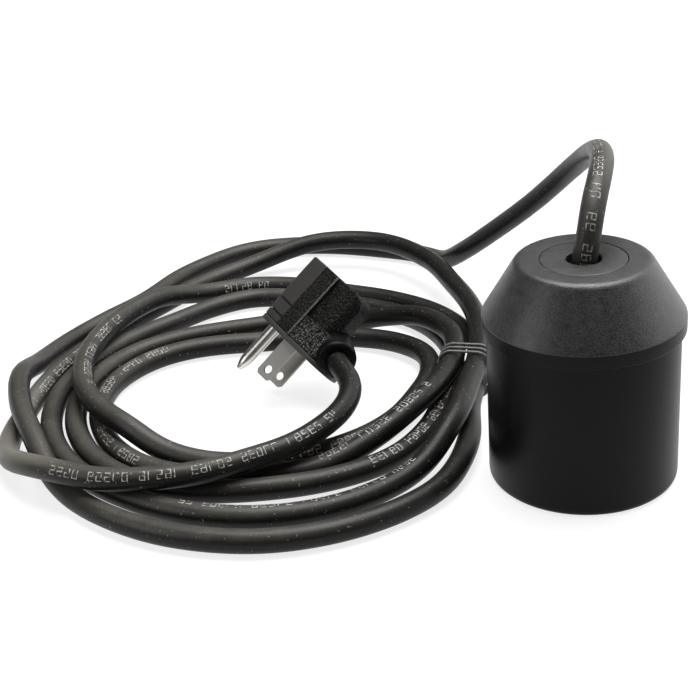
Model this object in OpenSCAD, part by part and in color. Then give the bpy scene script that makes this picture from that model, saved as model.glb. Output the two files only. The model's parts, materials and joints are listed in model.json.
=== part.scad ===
// Tethered pump float switch: a sealed float that holds a rolling-ball switch, on a two-conductor
// rubber cord that ends in a piggyback mains plug. The float stands on its base at the origin, +Z up.

/* [Float] */
// Radius of the float's lower shell
body_r = 31; // [26:0.5:40]
// Height of the float
float_h = 76; // [70:1:96]
// Wall of both shells
wall = 2.5; // [1.6:0.1:3.5]
// Rounding of the bottom edge
base_round = 2.5; // [0.5:0.5:5]
// How far the cap's band stands out past the lower shell
band_step = 1.5; // [0.5:0.1:3]
// Height of the band's lower edge
band_z = 52.8; // [48:0.2:56]
// Width of the straight band round the cap
band_h = 4.6; // [3:0.2:8]
// Radius of the cap's flat top, out to where its cone would meet it
crown_r = 21.5; // [17:0.5:26]
// Rounding of the crown's edge
crown_round = 1.4; // [0.6:0.1:3]
// Rounding where the band turns into the cone
band_round = 0.9; // [0.4:0.1:2]
// Height of the spigot that the cap slides over
spigot_h = 4.4; // [3:0.2:6]
// Wall of the spigot
spigot_wall = 1.25; // [0.8:0.05:1.8]
// Section diameter of the seal ring
seal_d = 1.6; // [1:0.1:2.4]
// Radius of the disc that holds the gland down
disc_r = 13.8; // [12:0.2:16]
// Thickness of the disc
disc_t = 2.6; // [1.5:0.1:4]
// Radius of the cord's hole in the disc
disc_hole_r = 5.6; // [5.2:0.1:8]
// Radius of the gland's stem
gland_r = 8; // [6.5:0.1:9]
// Length of the gland below its flange
gland_stem = 7; // [5:0.5:10]
// Thickness of the gland's flange
flange_t = 1.8; // [1:0.1:3]

/* [Switch capsule] */
// Outer radius of the capsule
capsule_r = 15; // [14.5:0.1:17]
// Wall of the capsule's upper chamber
capsule_wall = 2; // [1.2:0.1:2.5]
// Thickness of the capsule's floor
capsule_floor = 1.8; // [1:0.1:3]
// Radius of the steel ball
ball_r = 9.4; // [7:0.1:10]
// Height of the ball's track inside the capsule
track_h = 30.7; // [26:0.1:34]
// Length of the snap switch
switch_l = 20; // [19:0.5:21]
// Height of the snap switch's case
switch_h = 10.2; // [9.6:0.1:11]
// Width of the snap switch's case
switch_w = 6.4; // [5.6:0.1:7]
// Wall of the snap switch's case
switch_wall = 1.2; // [0.8:0.1:1.5]
// Angle that the lever turns through to close the contacts
lever_swing = 5; // [3:0.5:5]
// Radius of the lever's pin
pin_r = 0.6; // [0.5:0.05:0.8]
// Radius of the plunger's stem
plunger_r = 1.2; // [0.9:0.1:1.5]

/* [Cord] */
// Diameter of the cord's jacket
cord_d = 8; // [7:0.1:8]
// Radius of one insulated conductor
core_r = 1.15; // [0.8:0.05:1.3]

/* [Plug] */
// Width of a blade
blade_w = 6.35; // [6:0.05:6.6]
// Thickness of a blade
blade_t = 1.52; // [1.3:0.02:1.6]
// Length of a blade outside the plug
blade_l = 15.9; // [14:0.1:18.2]
// Distance between the two blades
blade_gap = 12.7; // [12.2:0.1:13.2]
// Distance from the ground pin to the blades
ground_gap = 11.9; // [11.4:0.1:12.4]
// Radius of the ground pin
ground_r = 2.4; // [2.2:0.05:2.4]
// Length of the ground pin outside the plug
ground_l = 20.6; // [18:0.1:22]
// Depth of the plug from its front face to its receptacle face
plug_l = 30; // [28:0.5:38]
// Half of the plug's thickness
plug_half = 9.5; // [9.2:0.1:12]
// Length of the plug on the ground pin's side of the blades
plug_back = 18.2; // [17:0.2:20]
// Length of the plug's moulding on the cord's side of the blades
plug_reach = 12; // [11:0.2:14]
// Thickness of the plug's front plate
plate_t = 2; // [1.5:0.1:3]
// Length of the strain relief outside the plug
boot_l = 10; // [9:0.5:14]
// Radius of the strain relief at the plug
boot_r = 7.6; // [6.6:0.1:7.8]
// Radius of the strain relief at its tip
boot_tip_r = 7.4; // [5.5:0.1:7.6]

/* [Hidden] */
$fn = 72;
// Clearances: shells and bushes, a pin that turns in its hole, and pieces that must not touch
fit = 0.15;
running = 0.05;
air = 0.1;

band_r = body_r + band_step;
spigot_r = body_r - wall + spigot_wall;
cap_socket_r = spigot_r + fit;
seat_z = float_h - disc_t - flange_t;          // floor of the recess under the disc
disc_z = float_h - disc_t;
gland_z = seat_z - gland_stem;
potting_t = 2;
cover_t = 2;
capsule_top = gland_z - potting_t - cover_t;
capsule_z = wall + 2.5;
track_z = capsule_z + capsule_floor;
chamber_z = track_z + track_h;
chamber_r = capsule_r - capsule_wall;
ball_z = track_z + running + ball_r;
paddle_z = chamber_z + 0.8;                    // underside of the lever's paddle
lever_t = 0.5;
lever_z = paddle_z + 1.6;                      // underside of the lever's flat arm
hinge = [switch_l / 2 - 1.5, 0, lever_z + 1.1];
switch_z = hinge[2] + 1;
cavity_z = switch_z + switch_wall;
blade_z = cavity_z + 1.8;                      // underside of the moving blade
moving_t = 0.3;
plunger_x = -1;
root_x = switch_l / 2 - 2.4;
tip_x = -switch_l / 2 + 2.9;
screw_x = 4.7;
screw_z = switch_z + switch_h - 1.7;
terminal_w = 2.4;
terminal_t = 0.8;
terminal_top = switch_z + switch_h + 3.4;
bracket_t = 1.2;
core_x = 2.2;                                  // offset of a conductor from the cord's middle
cord_r = cord_d / 2;
cord_end_z = gland_z + 1;
swing_travel = (hinge[0] - plunger_x) * sin(lever_swing);
contact_gap = (root_x - tip_x) * swing_travel / (root_x - plunger_x) + air;

steel_grey = "#8d9196";
brass_tone = "#b59a4c";
shell_black = "#2b2b2d";
cord_black = "#343436";

// ---- The cord's route: centre points in millimetres, chosen by hand where it lies free ----
cord_floor = cord_r + 0.3;                     // height of a strand's middle on the floor
layer = cord_d + 0.6;                          // one strand lying on another
coil_mid = [-110, 80];
route_h = 76;                                  // height of the float under the lead's first points
coil_start = 63;                               // compass direction of the first ring
coil_step = 30;                                // degrees between the directions below
tie_angle = -8;
rings_per_loop = 24;
// Reach of each pass of the cord from the coil's middle, first pass to last, in twelve directions
coil_reach = [
    [127.5, 78, 31, 50, 67, 116],              // far right, where the lead joins
    [125, 84, 27, 42, 71, 104],                // far
    [91, 73.5, 32, 45, 63, 81.5],
    [87.3, 67.5, 43.5, 55, 65.7, 75.8],
    [88.6, 65.5, 55.7, 65.2, 74.3, 83.1],      // left
    [92, 66, 66.2, 75.3, 84.4],
    [106.5, 67.3, 76.3, 85.3, 94.4],
    [117.5, 68.3, 77.2, 86.1, 103.7],          // near
    [111.5, 68, 77, 86, 100],
    [86, 65.5, 75.2, 76, 86],                  // either side of the tie
    [84.7, 64.3, 74.2, 74.7, 85.3],            // right
    [83, 46, 60, 73, 95]];
// Where a pass lies on another: direction counted on from the first pass, half the flat, the ramp
coil_humps = [[195, 10, 26], [536, 47, 30], [1068, 32, 28], [1817, 55, 28]];

lead_route = [
    [0, 0, 73.6], [0.7, -0.4, 78.4], [2, 1, 84.6], [3.6, 4.7, 90.3], [5.8, 10.5, 94],
    [8.3, 18.5, 95.8], [11.8, 33, 96], [14.3, 50, 93.2], [15.5, 66, 88], [15.5, 79, 82.5],
    [14, 90, 76], [11, 100, 68.5], [6.5, 109, 60], [1, 118, 51], [-6, 128, 41.2],
    [-13, 138, 31.8], [-20, 148, 22.6], [-25.6, 158.5, 14.6], [-29.4, 168, 8.6],
    [-33, 176.8, 5.4], [-38, 184.6, 4.4]];
tail_route = [
    [-196.4, 55.3, 4.3], [-197.9, 44.5, 4.3], [-197.6, 33, 4.6], [-194.2, 21.5, 7],
    [-186.6, 10.3, 11], [-176, 1, 13.3], [-163, -5.5, 13], [-149, -8.5, 13], [-127, -7.5, 13],
    [-110, -1, 13.2], [-99, 3, 14], [-91.3, 8, 14.8], [-85.3, 14.5, 15.2], [-80, 22, 15.6],
    [-76.4, 30, 16.4], [-75.2, 38, 17.4], [-76.6, 45.5, 18.2]];

// ---- Where the plug lies: its own axes are X to the cord, Y up, Z along the blades ----
plug_at = [-94.3, 69.6, 18.4];
plug_turn = [136, 27.5, -44.5];
boot_at = [plug_reach - 1, 0, -9];
boot_turn = [0, -11, 44];
boot_seat = 4.2;                               // how deep the cord's end sits in the strain relief
boot_root_r = 5.6;
tongue = 7.4;                                  // how far the front plate reaches past the moulding

// ================= Curves and sweeps =================

function unit(v) = v / norm(v);
function clamp(x) = min(1, max(0, x));
function ease(x) = clamp(x) * clamp(x) * (3 - 2 * clamp(x));

// Points of an arc in a plane, from angle a to angle b
function arc(c, r, a, b, n = 6) =
    [for (i = [0:n]) c + r * [cos(a + (b - a) * i / n), sin(a + (b - a) * i / n)]];

// A point between b and c on the smooth curve through four points (or numbers)
function between(a, b, c, d, t) =
    (2 * b + (c - a) * t + (2 * a - 5 * b + 4 * c - d) * t * t
    + (3 * b - a - 3 * c + d) * t * t * t) / 2;

// A list's item, with one more past either end in line with the last two
function beyond(p, i) =
    i < 0 ? 2 * p[0] - p[1] : i > len(p) - 1 ? 2 * p[len(p) - 1] - p[len(p) - 2] : p[i];

function smooth_at(p, i, t) =
    between(beyond(p, i - 1), p[i], beyond(p, i + 1), beyond(p, i + 2), t);

function smooth(p, n) = concat(
    [for (i = [0:len(p) - 2], j = [0:n - 1]) smooth_at(p, i, j / n)],
    [p[len(p) - 1]]);

// Direction of a path at its point i
function heading(p, i) = unit(p[min(i + 1, len(p) - 1)] - p[max(i - 1, 0)]);

// One ring of n points round point i of a path; side is a direction the path never takes
function ring(p, i, r, n, side) =
    let (t = heading(p, i), u = unit(cross(side, t)), v = cross(t, u))
    [for (k = [0:n - 1]) p[i] + r * (cos(360 * k / n) * u + sin(360 * k / n) * v)];

// A closed tube of triangles along a path
module tube(p, r, n, side) {
    m = len(p);
    points = concat([for (i = [0:m - 1]) each ring(p, i, r, n, side)], [p[0], p[m - 1]]);
    walls = [
        for (i = [0:m - 2], k = [0:n - 1])
            let (a = i * n + k, b = i * n + (k + 1) % n)
            each [[a, a + n, b], [b, a + n, b + n]]];
    ends = [
        for (k = [0:n - 1])
            each [[m * n, k, (k + 1) % n],
                [m * n + 1, (m - 1) * n + (k + 1) % n, (m - 1) * n + k]]];
    polyhedron(points, concat(walls, ends));
}

function run_length(p) = len(p) < 2 ? 0 : [for (i = [0:len(p) - 2]) norm(p[i + 1] - p[i])]
    * [for (i = [0:len(p) - 2]) 1];

// ================= Turning a point as rotate() does =================

function turn_x(v, a) = [v[0], v[1] * cos(a) - v[2] * sin(a), v[1] * sin(a) + v[2] * cos(a)];
function turn_y(v, a) = [v[0] * cos(a) + v[2] * sin(a), v[1], v[2] * cos(a) - v[0] * sin(a)];
function turn_z(v, a) = [v[0] * cos(a) - v[1] * sin(a), v[0] * sin(a) + v[1] * cos(a), v[2]];
function turned(v, a) = turn_z(turn_y(turn_x(v, a[0]), a[1]), a[2]);
function on_plug(v) = plug_at + turned(v, plug_turn);
function on_boot(x) = on_plug(boot_at + turned([x, 0, 0], boot_turn));

// ================= The coil =================

// The reaches in the order in which the cord runs through them
passes = len(coil_reach[0]);
reach_run = [
    for (n = [0:passes - 1], k = [0:len(coil_reach) - 1])
        if (n < passes - 1 ? n < len(coil_reach[k]) : k < 5) coil_reach[k][n]];

function hump(a, at, flat, ramp) = 1 - ease((abs(a - at) - flat) / ramp);
function turn_back(a) = a - 360 * round((a - tie_angle) / 360) - tie_angle;
function coil_lift(a) =
    layer * max([for (h = coil_humps) hump(a, h[0], h[1], h[2])]) + hump(turn_back(a), 0, 12, 30);

// Centre of the cord a given number of degrees into the coil
function coil_point(a) =
    let (x = a / coil_step,
        i = min(floor(x), len(reach_run) - 2),
        reach = smooth_at(reach_run, i, x - i),
        way = coil_start + a)
    [coil_mid[0] + reach * cos(way), coil_mid[1] + reach * sin(way), cord_floor + coil_lift(way)];

coil_sweep = coil_step * (len(reach_run) - 1);
coil_route = [for (k = [0:coil_sweep * rings_per_loop / 360]) coil_point(k * 360 / rings_per_loop)];

// Where the faceted passes go through the tie: distance from the coil's middle and height
tied = [
    for (a = [tie_angle + 360 - coil_start:360:coil_sweep])
        let (k = a * rings_per_loop / 360,
            i = floor(k),
            p = coil_route[i] + (k - i) * (coil_route[i + 1] - coil_route[i]))
        [norm([p[0] - coil_mid[0], p[1] - coil_mid[1]]), p[2]]];

// Least distance between two stretches of the faceted coil a half loop or more apart, less a cord
fine = [
    for (i = [0:len(coil_route) - 2], j = [0:3])
        coil_route[i] + (coil_route[i + 1] - coil_route[i]) * j / 4];
half_loop = rings_per_loop * 2;
coil_gap = min([
    for (i = [0:len(fine) - half_loop - 1], j = [i + half_loop:len(fine) - 1])
        norm(fine[i] - fine[j])]) - cord_d;

// The free stretches run straight for one diameter where they meet another piece
coil_in = coil_route[0];
coil_out = coil_route[len(coil_route) - 1];
lead_lift = float_h - route_h;
lead_free = [
    for (i = [0:len(lead_route) - 1])
        lead_route[i] + [0, 0, lead_lift * (1 - ease(i / (len(lead_route) - 1)))]];
lead_path = concat(
    [[0, 0, cord_end_z]],
    smooth(concat(lead_free, [coil_in - cord_d * unit(coil_route[1] - coil_in)]), 2),
    [coil_in]);
tail_path = concat(
    [coil_out],
    smooth(concat([coil_out + cord_d * unit(coil_out - coil_route[len(coil_route) - 2])],
        tail_route, [on_boot(boot_l + 2)]), 2),
    [on_boot(boot_l - boot_seat + air)]);

echo(coil_gap_mm = coil_gap);
echo(cord_lengths_mm = [for (p = [lead_path, coil_route, tail_path]) run_length(p)]);
echo(boot_tip = on_boot(boot_l), plug_axis = turned([0, 0, 1], plug_turn));
echo(ball_travel = paddle_z - 2 * air - ball_z - ball_r, plunger_travel = swing_travel);
echo(hinge = hinge, blade_root = [root_x, 0, blade_z + moving_t / 2]);

// ================= Float =================

// The lower shell: a cup with a spigot round its rim
module float_body() {
    color(shell_black) rotate_extrude() polygon(concat(
        [[0, 0]],
        arc([body_r - base_round, base_round], base_round, -90, 0),
        [[body_r, band_z], [spigot_r, band_z], [spigot_r, band_z + spigot_h],
            [body_r - wall, band_z + spigot_h]],
        arc([body_r - wall - base_round, wall + base_round], base_round, 0, -90),
        [[0, wall]]));
}

// The cap's cone: its angle from upright and its outside radius at a height
cone_z = band_z + band_h;
cone_lean = atan((band_r - crown_r) / (float_h - cone_z));
function cone_r(z) = band_r - (z - cone_z) * tan(cone_lean);

// The cap: band, cone and crown, with a boss for the gland and a recess for the disc
module float_cap() {
    seal_room = band_z + spigot_h + seal_d + running;
    inner_top = float_h - disc_t - flange_t - wall;
    shoulder = [band_r - band_round, cone_z - band_round * tan(cone_lean / 2)];
    crown = [crown_r - crown_round * tan(45 - cone_lean / 2), float_h - crown_round];
    color(shell_black) rotate_extrude() polygon(concat(
        [[cap_socket_r, band_z], [band_r - 0.3, band_z], [band_r, band_z + 0.3]],
        arc(shoulder, band_round, 0, cone_lean, 4),
        arc(crown, crown_round, cone_lean, 90),
        [[disc_r + fit, float_h], [disc_r + fit, seat_z], [gland_r + running, seat_z],
            [gland_r + running, gland_z - potting_t], [gland_r + wall, gland_z - potting_t],
            [gland_r + wall, inner_top], [cone_r(inner_top) - wall - 1, inner_top],
            [cap_socket_r - 1.6, seal_room + 1.5], [cap_socket_r - 1.6, seal_room],
            [cap_socket_r, seal_room]]));
}

module seal_ring() {
    color("#1c1c1d") translate([0, 0, band_z + spigot_h + seal_d / 2])
        rotate_extrude() translate([spigot_r - seal_d / 2, 0]) circle(d = seal_d, $fn = 24);
}

// The disc set in the crown, with a skirt round the gland's flange
module retainer_disc() {
    skirt = disc_r - 2.4;
    color("#3a3a3c") rotate_extrude() polygon([
        [disc_hole_r, disc_z], [skirt, disc_z], [skirt, seat_z], [disc_r, seat_z],
        [disc_r, float_h - 0.4], [disc_r - 0.4, float_h],
        [disc_hole_r + 0.6, float_h], [disc_hole_r, float_h - 0.6]]);
}

// The rubber gland: a stem with a flange, bored for the cord and below that for each conductor
module cord_gland() {
    color("#1f1f20") difference() {
        union() {
            translate([0, 0, gland_z]) cylinder(r = gland_r, h = gland_stem);
            translate([0, 0, seat_z]) cylinder(r = disc_r - 2.4 - fit, h = flange_t);
        }
        translate([0, 0, cord_end_z]) cylinder(r = cord_r + 0.4, h = float_h);
        for (x = [-core_x, core_x])
            translate([x, 0, gland_z - 1]) cylinder(r = core_r + running, h = 3, $fn = 24);
    }
}

module potting_plug() {
    color("#20262b") difference() {
        translate([0, 0, gland_z - potting_t]) cylinder(r = gland_r, h = potting_t);
        for (x = [-core_x, core_x])
            translate([x, 0, gland_z - potting_t - 1])
                cylinder(r = core_r + running, h = potting_t + 2, $fn = 24);
    }
}

// Closed-cell foam round the capsule
module foam_core() {
    top = band_z - 1;
    color("#d9d5c8") rotate_extrude() polygon([
        [0, wall + running], [body_r - wall - base_round, wall + running],
        [body_r - wall - fit, wall + base_round + 0.4],
        [body_r - wall - fit, top], [capsule_r + fit, top], [capsule_r + fit, capsule_z - running],
        [0, capsule_z - running]]);
}

// ================= Ball and snap switch =================

// A tube with a narrow track for the ball and a wide chamber for the switch
module capsule_body() {
    color("#c9c4b4") rotate_extrude() polygon([
        [0, capsule_z], [capsule_r - 1, capsule_z], [capsule_r, capsule_z + 1],
        [capsule_r, capsule_top], [chamber_r, capsule_top], [chamber_r, chamber_z],
        [ball_r + 0.2, chamber_z], [ball_r + 0.2, track_z], [0, track_z]]);
}

module capsule_cover() {
    color("#bdb8a8") difference() {
        union() {
            translate([0, 0, capsule_top]) cylinder(r = capsule_r, h = cover_t);
            difference() {
                translate([0, 0, capsule_top - 2]) cylinder(r = chamber_r - fit, h = 2);
                translate([0, 0, capsule_top - 3]) cylinder(r = chamber_r - 1.6, h = 3);
            }
        }
        translate([0, 0, capsule_top - 1]) cylinder(r = core_x + core_r + 1.8, h = cover_t + 2);
    }
}

module steel_ball() {
    color(steel_grey) translate([0, 0, ball_z]) sphere(r = ball_r);
}

module y_hole(x, z, r, y0, y1) {
    translate([x, y0, z]) rotate([-90, 0, 0]) cylinder(r = r, h = y1 - y0, $fn = 32);
}

// A block given by two opposite corners
module block(a, b) {
    translate(a) cube(b - a);
}

half_w = switch_w / 2;
cavity_top = switch_z + switch_h - 3.3;
case_split = half_w - 1;                       // the cover takes the last millimetre of width

// The switch's case, open towards +Y, with a lug for the lever's pin and a rest for the blade
module switch_case() {
    color("#7a1f1c") difference() {
        union() {
            block([-switch_l / 2, -half_w, switch_z], [switch_l / 2, case_split, switch_z + switch_h]);
            block([hinge[0] - 1.1, -1.1, hinge[2] - 1], [hinge[0] + 1.1, 1.1, switch_z + 0.1]);
        }
        difference() {
            block([-switch_l / 2 + switch_wall, -half_w + switch_wall, cavity_z],
                [switch_l / 2 - switch_wall, half_w, cavity_top]);
            block([-switch_l / 2, -1, cavity_z - 1], [tip_x + 1, 1, blade_z - air]);
        }
        y_hole(hinge[0], hinge[2], pin_r, -2, 2);
        for (x = [-screw_x, screw_x]) y_hole(x, screw_z, 1.15, -half_w - 1, half_w);
        translate([plunger_x, 0, switch_z - 1]) cylinder(r = plunger_r + running, h = 3, $fn = 32);
        for (x = [root_x, tip_x])
            block([x - terminal_w / 2, -terminal_t / 2, cavity_top - 1],
                [x + terminal_w / 2, terminal_t / 2, switch_z + switch_h + 1]);
    }
}

module switch_cover() {
    color("#8c2a26") difference() {
        block([-switch_l / 2, case_split, switch_z], [switch_l / 2, half_w, switch_z + switch_h]);
        for (x = [-screw_x, screw_x]) y_hole(x, screw_z, 1.15, 0, half_w + 1);
    }
}

// The angle that hangs the switch from the capsule's cover
module switch_bracket() {
    color(steel_grey) difference() {
        union() {
            block([-8, half_w, switch_z + 2], [8, half_w + bracket_t, capsule_top]);
            block([-8, half_w, capsule_top - bracket_t], [8, half_w + 4.5, capsule_top]);
        }
        for (x = [-screw_x, screw_x]) y_hole(x, screw_z, 1.15, 0, half_w + 3);
    }
}

module switch_screws() {
    color("silver") for (x = [-screw_x, screw_x]) {
        y_hole(x, screw_z, 1.1, -half_w, half_w + bracket_t + 1);
        y_hole(x, screw_z, 1.9, -half_w - 1.2, -half_w);
    }
}

// The plunger: a stem with a collar that keeps it in the case, and a narrow tip at each end
module plunger() {
    color("#e6e2d4") translate([plunger_x, 0, 0]) {
        translate([0, 0, lever_z + lever_t + air])
            cylinder(r = 0.6, h = blade_z - lever_z - lever_t - 2 * air, $fn = 24);
        translate([0, 0, switch_z - 0.7]) cylinder(r = plunger_r, h = switch_wall + 1.2, $fn = 32);
        translate([0, 0, cavity_z + air]) cylinder(r = plunger_r + 0.6, h = 0.7, $fn = 32);
    }
}

// The lever: two ears on the pin, a flat arm under the plunger and a cranked paddle for the ball
module actuator_lever() {
    arm_x = hinge[0] - 1.5;
    ear_y = 1.1 + air;
    color("silver") {
        difference() {
            for (y = [-ear_y - lever_t, ear_y]) {
                y_hole(hinge[0], hinge[2], 0.95, y, y + lever_t);
                block([arm_x - 0.6, y, lever_z], [hinge[0], y + lever_t, hinge[2] - 0.3]);
            }
            y_hole(hinge[0], hinge[2], pin_r + running, -3, 3);
        }
        translate([0, ear_y + lever_t, 0]) rotate([90, 0, 0])
            linear_extrude(2 * (ear_y + lever_t)) polygon([
                [arm_x, lever_z], [-6, lever_z], [-9, paddle_z], [-11, paddle_z],
                [-11, paddle_z + lever_t], [-8.8, paddle_z + lever_t], [-5.8, lever_z + lever_t],
                [arm_x, lever_z + lever_t]]);
    }
}

module lever_pin() {
    color("silver") y_hole(hinge[0], hinge[2], pin_r, -2.2, 2.2);
}

// A tab that stands out of the case, from a height up, with its cross hole
module terminal(x, z) {
    difference() {
        block([x - terminal_w / 2, -terminal_t / 2, z], [x + terminal_w / 2, terminal_t / 2, terminal_top]);
        y_hole(x, terminal_top - 1.1, 0.6, -1, 1);
    }
}

module common_terminal() {
    color(brass_tone) terminal(root_x, blade_z + moving_t + 2 * air);
}

module open_terminal() {
    rivet_z = blade_z + moving_t + 0.4 + contact_gap;
    color(brass_tone) {
        terminal(tip_x, rivet_z + 0.4);
        translate([tip_x, 0, rivet_z]) cylinder(r = 1.1, h = 0.5, $fn = 32);
    }
}

// The spring blade that carries the moving contact
module moving_blade() {
    color("#c47a4a") {
        block([tip_x - 0.9, -1.5, blade_z], [root_x + 1, 1.5, blade_z + moving_t]);
        translate([tip_x, 0, blade_z]) cylinder(r = 1, h = moving_t + 0.4, $fn = 32);
    }
}

module crimp_sleeves() {
    color("silver") for (x = [root_x, tip_x]) difference() {
        block([x - 1.7, -0.9, terminal_top - 1.8], [x + 1.7, 0.9, terminal_top + 1.4]);
        block([x - terminal_w / 2, -terminal_t / 2, terminal_top - 2],
            [x + terminal_w / 2, terminal_t / 2, terminal_top]);
    }
}

// A conductor from a crimp sleeve up to the cord's end, as one bent tube
module float_conductor(side, x, tone) {
    low = terminal_top + 1.4;
    color(tone) tube(concat(
        [[x, 0, low]],
        smooth([[x, 0, low + 0.8], [side * 5, 0, low + 2.2], [side * core_x, 0, capsule_top]], 3),
        [[side * core_x, 0, capsule_top + 1], [side * core_x, 0, cord_end_z]]),
        core_r, 8, [0, 1, 0]);
}
module float_conductor_line() {
    float_conductor(1, root_x, "#1d1d1f");
}
module float_conductor_load() {
    float_conductor(-1, tip_x, "#e9e6dd");
}

// ================= Cord =================

module cord_lead() {
    color(cord_black) tube(lead_path, cord_r, 10, [1, 0, 0]);
}
module cord_coil() {
    color(cord_black) tube(coil_route, cord_r, 6, [0, 0, 1]);
}
module cord_tail() {
    color(cord_black) tube(tail_path, cord_r, 10, [0, 0, 1]);
}

// The tie's outline round the strands that pass it, a given distance outside them
module bundle(out) {
    hull() for (p = tied) translate(p) circle(r = cord_r + out, $fn = 24);
}

// A flat wire tie round the coil, with its twisted tail hanging outside
module cord_tie() {
    outside = max([for (p = tied) p[0]]) + cord_r;
    color("#77787a") translate([coil_mid[0], coil_mid[1], 0]) rotate([90, 0, tie_angle])
        translate([0, 0, -1.3]) {
            linear_extrude(2.6) difference() {
                bundle(1.3);
                bundle(0.6);
            }
            linear_extrude(2.2) polygon([
                [outside + 0.6, 14], [outside + 1, 15.5], [outside + 2.2, 14.5], [outside + 3.4, 6],
                [outside + 3, 3.5], [outside + 2.2, 6]]);
        }
}

// ================= Plug =================

module in_plug() {
    translate(plug_at) rotate(plug_turn) children();
}

// Outline of the moulding across the blades, and of its slimmer rear part behind the ridges
module plug_outline() {
    h = plug_half;
    b = plug_back;
    r = plug_reach;
    polygon([
        [-b, -h * 0.37], [-b, h * 0.37], [-b + 8, h * 0.8], [ridge_x, h], [r - 1, h], [r, h - 1],
        [r, 1 - h], [r - 1, -h], [ridge_x, -h], [-b + 8, -h * 0.8]]);
}
module rear_outline() {
    h = plug_half;
    b = plug_back;
    r = plug_reach - waist_step;
    polygon([
        [-b, -h * 0.37], [-b, h * 0.37], [-b + 8, h * 0.8], [ridge_x, h],
        [ridge_x + 0.6, h - waist_step], [r - 3, h - waist_step], [r, h - 4], [r, 4 - h],
        [r - 3, waist_step - h], [ridge_x + 0.6, waist_step - h], [ridge_x, -h], [-b + 8, -h * 0.8]]);
}

// The plug seen along Y: its two rear corners are rounded
module side_outline() {
    b = plug_back;
    r = plug_reach;
    polygon(concat(
        [[-b, 0]], arc([-b + rear_round_small, rear_round_small - plug_l], rear_round_small, 180, 270),
        arc([r - rear_round, rear_round - plug_l], rear_round, 270, 360), [[r, 0]]));
}

module slot(x, y, w, t, z0, z1) {
    block([x - w / 2, y - t / 2, z0], [x + w / 2, y + t / 2, z1]);
}

ridge_x = -2.4;
waist_z = -12;
waist_step = 1.2;                              // how much slimmer the rear part is
rear_round = 5;
rear_round_small = 1.5;
boot_root_x = plug_reach - 8.5;
line_y = blade_gap / 2;
collar = 0.6;                                  // step of the ground pin inside the front plate
contact_t = 0.8;
pocket_w = blade_w + 1.4;
pocket_t = 3.2;
pocket_z = -13;

// The smooth front plate, with a rounded tongue under the strain relief's collar
module front_plate() {
    color("#48484a") in_plug() difference() {
        union() {
            translate([0, 0, -plate_t]) linear_extrude(plate_t) plug_outline();
            intersection() {
                translate([plug_reach - 1.8, 0, -plate_t]) cylinder(r = plug_half, h = plate_t);
                block([0, -plug_half, -plate_t], [plug_reach + tongue, plug_half, 0]);
            }
        }
        for (y = [-line_y, line_y])
            slot(0, y, blade_w + air, blade_t + air, -plate_t - 1, 1);
        translate([-ground_gap, 0, -plate_t - 1]) cylinder(r = ground_r + collar + running, h = plate_t + 2);
    }
}

// The moulding: a full front part, a slimmer receptacle part and pockets for the metal pieces
module plug_moulding() {
    color("#2a2a2b") in_plug() difference() {
        union() {
            translate([0, 0, waist_z]) linear_extrude(-waist_z - plate_t) plug_outline();
            intersection() {
                translate([0, 0, -plug_l]) linear_extrude(plug_l + waist_z) rear_outline();
                translate([0, 20, 0]) rotate([90, 0, 0]) linear_extrude(40) side_outline();
            }
        }
        // two parting grooves round the ground pin's side
        for (z = [-6, waist_z]) block([-30, -20, z - 0.5], [1 - plug_back, 20, z]);
        // room for the strain relief's root, the conductors and the blades' inner ends
        translate([boot_root_x, 0, boot_at[2]]) rotate([0, 90, 0])
            cylinder(r = boot_root_r + running, h = plug_reach);
        block([-1.9, -line_y, -11.5], [boot_root_x + 0.1, line_y, -7.5]);
        slot(0, line_y, blade_w + air, blade_t + air, -11, 0);
        slot(0, -line_y, blade_w + air, blade_t + air, pocket_z - 1, 0);
        for (y = [-line_y, line_y]) {
            slot(0, y, pocket_w, pocket_t, -plug_l + 2, pocket_z);
            slot(0, y, blade_w + 1, blade_t + 0.9, -plug_l - 1, pocket_z);
        }
        slot(0, line_y, 3, 3, pocket_z - 1, -9);
        translate([-ground_gap, 0, -plug_l + 2]) cylinder(r = ground_r + 1.1, h = plug_l);
        translate([-ground_gap, 0, -plug_l - 1]) cylinder(r = ground_r + 0.2, h = 4);
    }
}

// A flat blade with a tip hole and two bevelled corners, from an inner height out to its tip
module blade(y, inner) {
    difference() {
        translate([0, y + blade_t / 2, 0]) rotate([90, 0, 0]) linear_extrude(blade_t) polygon([
            [-blade_w / 2, inner], [blade_w / 2, inner], [blade_w / 2, blade_l - 1.2],
            [blade_w / 2 - 1, blade_l], [1 - blade_w / 2, blade_l], [-blade_w / 2, blade_l - 1.2]]);
        translate([0, y - 2, blade_l - 3.6]) rotate([-90, 0, 0]) cylinder(r = 1.6, h = 4, $fn = 32);
    }
}

// A folded contact: two leaves and a web, open towards the receptacle's face
module leaf_contact(y) {
    for (s = [-1, 1])
        slot(0, y + s * (pocket_t / 2 - contact_t / 2 - running), blade_w, contact_t, -plug_l + 2.3, pocket_z - air);
    slot(0, y, blade_w, pocket_t - 2 * running, pocket_z - contact_t - air, pocket_z - air);
}

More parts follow.
